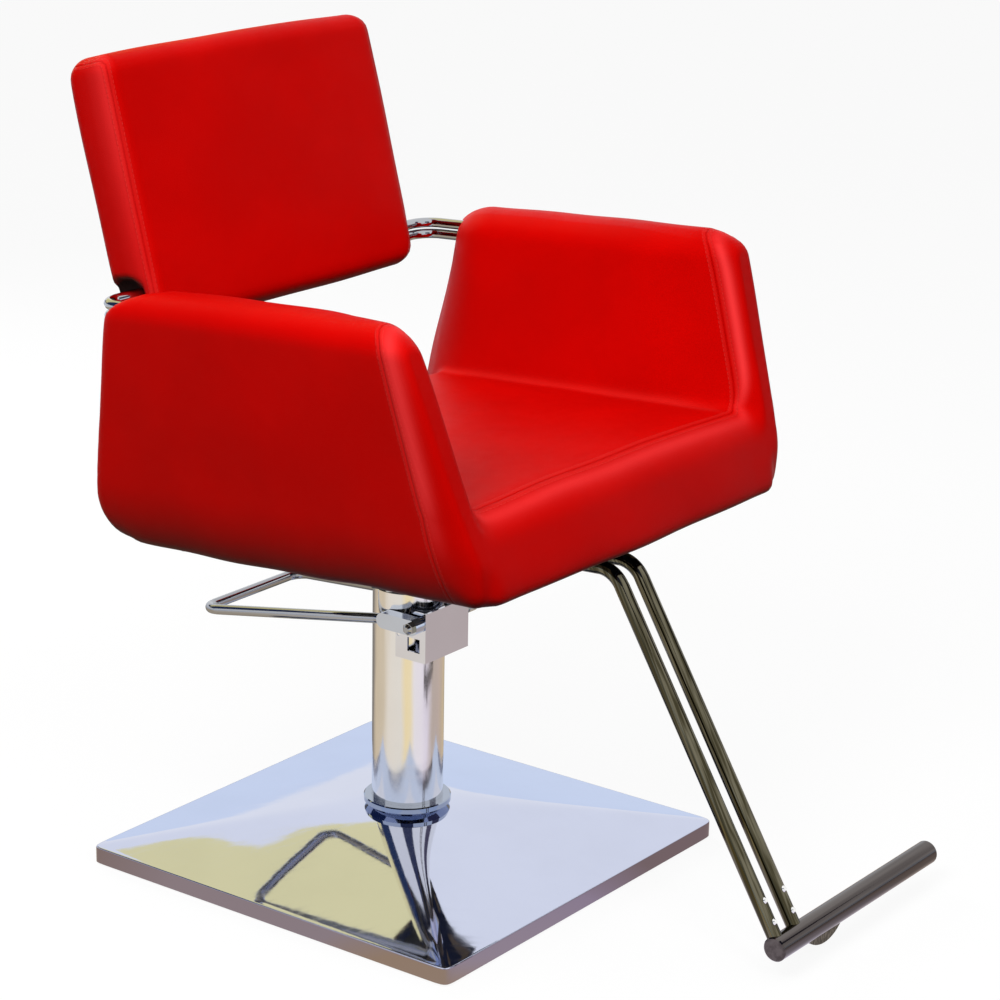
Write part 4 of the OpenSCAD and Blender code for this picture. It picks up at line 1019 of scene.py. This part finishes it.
def mirror_card(name, points, faces, colour):
    """A glowing sheet that only polished metal sees. colour is a tuple, or a function of the look."""
    look = Look(name)
    shade = colour(look) if callable(colour) else (*colour, 1.0)
    glow = look.node("Emission", {}, {"Color": shade})
    look.put(look.end.inputs["Surface"], glow)
    studio_sheet(name, points, faces, look.material, only_mirrored=True)


def level_square(half, height):
    """Corners and face of a level square round the column."""
    corners = [(-half, -half), (half, -half), (half, half), (-half, half)]
    return [(x, y, height) for x, y in corners], [(0, 1, 2, 3)]


def strip_between(low, high):
    """Points and faces of a strip between two rows of points."""
    n = len(low)
    return [*low, *high], [(k, k + 1, n + k + 1, n + k) for k in range(n - 1)]


# Colours of the floor's card: degrees round the column from the camera's side, then the colour
FLOOR_STOPS = [(-180, (0.20, 0.20, 0.19)), (-140, (0.25, 0.23, 0.21)), (-118, (0.66, 0.56, 0.42)),
               (-80, (0.74, 0.64, 0.50)), (-60, (0.90, 0.84, 0.76)), (-22, (0.90, 0.86, 0.80)),
               (-8, (1.0, 0.84, 0.52)), (8, (1.0, 0.86, 0.56)), (22, (0.94, 0.90, 0.96)),
               (60, (0.86, 0.80, 0.94)), (80, (0.58, 0.49, 0.45)), (112, (0.56, 0.46, 0.42)),
               (150, (0.62, 0.50, 0.34)), (180, (0.20, 0.20, 0.19))]
CAMERA_SIDE = math.radians(143.5)


def floor_colours(look):
    """Colour by the angle round the column, atan2(y, x) from the camera's side, with a little unevenness,
    so that it stands as streaks in the column."""
    unevenness = look.noise(3.0, 2.0) * 0.5 - 0.25
    angle = look.part("Y").angle_from(look.part("X")) + CAMERA_SIDE + unevenness
    turned = (angle / (2 * math.pi) + 0.5).fraction()
    return look.ramp_of_colours(turned, [((degrees + 180) / 360, colour) for degrees, colour in FLOOR_STOPS])


# The sheets that stand round the column: name, first and last direction and lower and upper height in
# degrees, distance in metres, colour
RING_CARDS = [("horizon_low", 0, 360, 0.0, 1.6, 3.2, (0.16, 0.19, 0.28)),
              ("horizon_card", 0, 360, 1.6, 9.0, 3.2, (0.80, 0.88, 1.0)),
              ("dark_card_front", -162, -125, 27.0, 50.0, 1.9, (0.05, 0.06, 0.12)),
              ("dark_card_left", 76, 142, 24.0, 52.0, 1.9, (0.03, 0.05, 0.12)),
              ("dark_card_right", -65, -38, 24.0, 50.0, 1.9, (0.10, 0.09, 0.14))]


def mirror_cards():
    """What the chrome shows: a beige sheet high behind the chair, a streaked floor, bluish bands at the
    horizon and dark sheets above the camera and at either side."""
    along = np.array([0.78, -0.62])
    middle = np.array([0.53, 1.06])
    steps = np.linspace(-1.1, 0.34, 37)
    # The beige sheet's lower edge is wavy, as it shows in the base
    edge = 0.97 + 0.035 * np.sin(steps * 13 + 0.5) + 0.015 * np.sin(steps * 29)
    low = [(*(middle + k * along), z) for k, z in zip(steps, edge)]
    high = [(*(middle + k * along), 2.9) for k in steps]
    mirror_card("beige_card", *strip_between(low, high), (1.0, 0.90, 0.46))
    for name, first, last, bottom, top, reach, colour in RING_CARDS:
        turn = np.radians(np.linspace(first, last, 1 + (last - first) // 6))
        x, y = reach * np.cos(turn), reach * np.sin(turn)
        heights = (np.full_like(x, reach * math.tan(math.radians(degrees))) for degrees in (bottom, top))
        mirror_card(name, *strip_between(*(np.stack([x, y, z], 1) for z in heights)), colour)
    mirror_card("floor_card", *level_square(1.9, 0.0004), floor_colours)


def lamp(name, place, aim, size, power):
    """A square soft lamp aimed at a height on the column's axis, which polished metal doesn't show."""
    data = bpy.data.lights.new(name, "AREA")
    data.shape = "SQUARE"
    data.size = size
    data.energy = power
    made = linked(name, data)
    made.visible_glossy = False
    made.location = place
    made.rotation_euler = (Vector((0.0, 0.0, aim)) - Vector(place)).to_track_quat("-Z", "Y").to_euler()


def floor_look():
    """White floor for the camera, mostly glowing so that it stays white with soft shadows, and nearly black
    for the rays that carry light, so that it throws no light up."""
    floor = Look("studio_floor")
    black = floor.node("BsdfDiffuse", {}, {"Color": (0.02, 0.02, 0.02, 1.0)})
    pale = floor.node("BsdfDiffuse", {}, {"Color": (0.92, 0.92, 0.92, 1.0)})
    glow = floor.node("Emission", {}, {"Color": WHITE, "Strength": 1.0})
    white = floor.node("MixShader", {}, {0: 0.90, 1: pale, 2: glow})
    both = floor.node("MixShader", {}, {0: floor.seen_directly(), 1: black, 2: white})
    floor.put(floor.end.inputs["Surface"], both)
    return floor.material


def sky_light(studio):
    """White for the camera and in the chrome; for light, stronger overhead than at the horizon."""
    world = bpy.data.worlds.new("studio_light")
    world.use_nodes = True
    sky = Tree(world.node_tree)
    way = sky.node("TexCoord", {}, {}, "Generated")
    up = sky.node("SeparateXYZ", {}, {0: way}, "Z")
    light = sky.node("MapRange", {}, {"Value": up, "To Min": studio.horizon, "To Max": studio.sky})
    level = sky.node("MapRange", {}, {"Value": sky.seen_directly(), "To Min": light, "To Max": 1.0})
    back = world.node_tree.nodes["Background"]
    sky.put(back.inputs["Strength"], level)
    sky.put(back.inputs["Color"], WHITE)
    return world


# The camera: its place, its lens in millimetres, and its azimuth, elevation and roll in degrees
CAMERA_PLACE = (-2.79979, -2.21151, 1.57426)
CAMERA_LENS = 109.74
CAMERA_TURNS = (-53.47, 17.26, 1.0)


def photo_camera():
    """The camera that sees the chair as the photo does: its axes are right, up and back, turned by roll."""
    eye = bpy.data.cameras.new("camera")
    eye.sensor_width = 36.0
    eye.lens = CAMERA_LENS
    eye.clip_end = 60.0
    camera = linked("camera", eye)
    azimuth, height, roll = (math.radians(turn) for turn in CAMERA_TURNS)
    level_part = math.cos(height)
    back = Vector((math.sin(azimuth) * level_part, -math.cos(azimuth) * level_part, math.sin(height)))
    level = Vector((0, 0, 1)).cross(back).normalized()
    upright = back.cross(level)
    right = math.cos(roll) * level + math.sin(roll) * upright
    up = math.cos(roll) * upright - math.sin(roll) * level
    turned = Matrix((right, up, back)).transposed().to_4x4()
    camera.matrix_world = Matrix.Translation(CAMERA_PLACE) @ turned
    return camera


class CHAIR_OT_stage(bpy.types.Operator):
    """Set up the floor, the soft light and the camera"""
    bl_idname = "chair.stage"
    bl_label = "Studio"

    def execute(self, context):
        scene = context.scene
        studio = scene.chair_studio
        scene.view_settings.view_transform = "Standard"
        studio_sheet("floor", *level_square(14.0, -0.0003), floor_look())
        scene.world = sky_light(studio)
        lamp("lamp_above", (-0.3, -0.6, 2.9), 0.5, 1.8, studio.top_lamp)
        lamp("lamp_side", (-2.3, -0.5, 2.7), 0.6, 1.3, studio.side_lamp)
        lamp("lamp_beside", (-1.3, -2.3, 2.3), 0.6, 0.7, studio.key_lamp)
        lamp("lamp_behind", (0.9, 2.6, 1.7), 0.6, 1.3, studio.rear_lamp)
        mirror_cards()
        scene.camera = photo_camera()
        return {"FINISHED"}


class CHAIR_PT_panel(bpy.types.Panel):
    """The chair's sizes, colours and steps"""
    bl_idname = "CHAIR_PT_panel"
    bl_label = "Hairdressing chair"
    bl_space_type = "VIEW_3D"
    bl_region_type = "UI"
    bl_category = "Chair"

    def draw(self, context):
        for name, group in GROUPS.items():
            box = self.layout.box()
            box.label(text=group.__doc__)
            for setting in group.__annotations__:
                box.prop(getattr(context.scene, name), setting, text=setting.replace("_", " ").capitalize())
        for step in STEPS:
            self.layout.operator(step.bl_idname, text=step.bl_label)


STEPS = [CHAIR_OT_finishes, CHAIR_OT_tub, CHAIR_OT_backrest, CHAIR_OT_base, CHAIR_OT_stage]


def register():
    for group in (*GROUPS.values(), *STEPS, CHAIR_PT_panel):
        bpy.utils.register_class(group)
    for name, group in GROUPS.items():
        setattr(bpy.types.Scene, name, PointerProperty(type=group))


def unregister():
    for name in GROUPS:
        delattr(bpy.types.Scene, name)
    for group in (CHAIR_PT_panel, *reversed(STEPS), *reversed(GROUPS.values())):
        bpy.utils.unregister_class(group)


def main():
    register()
    bpy.ops.chair.finishes()
    bpy.ops.chair.tub()
    bpy.ops.chair.backrest()
    bpy.ops.chair.base_cover()
    bpy.ops.chair.stage()


if __name__ == "__main__":
    main()
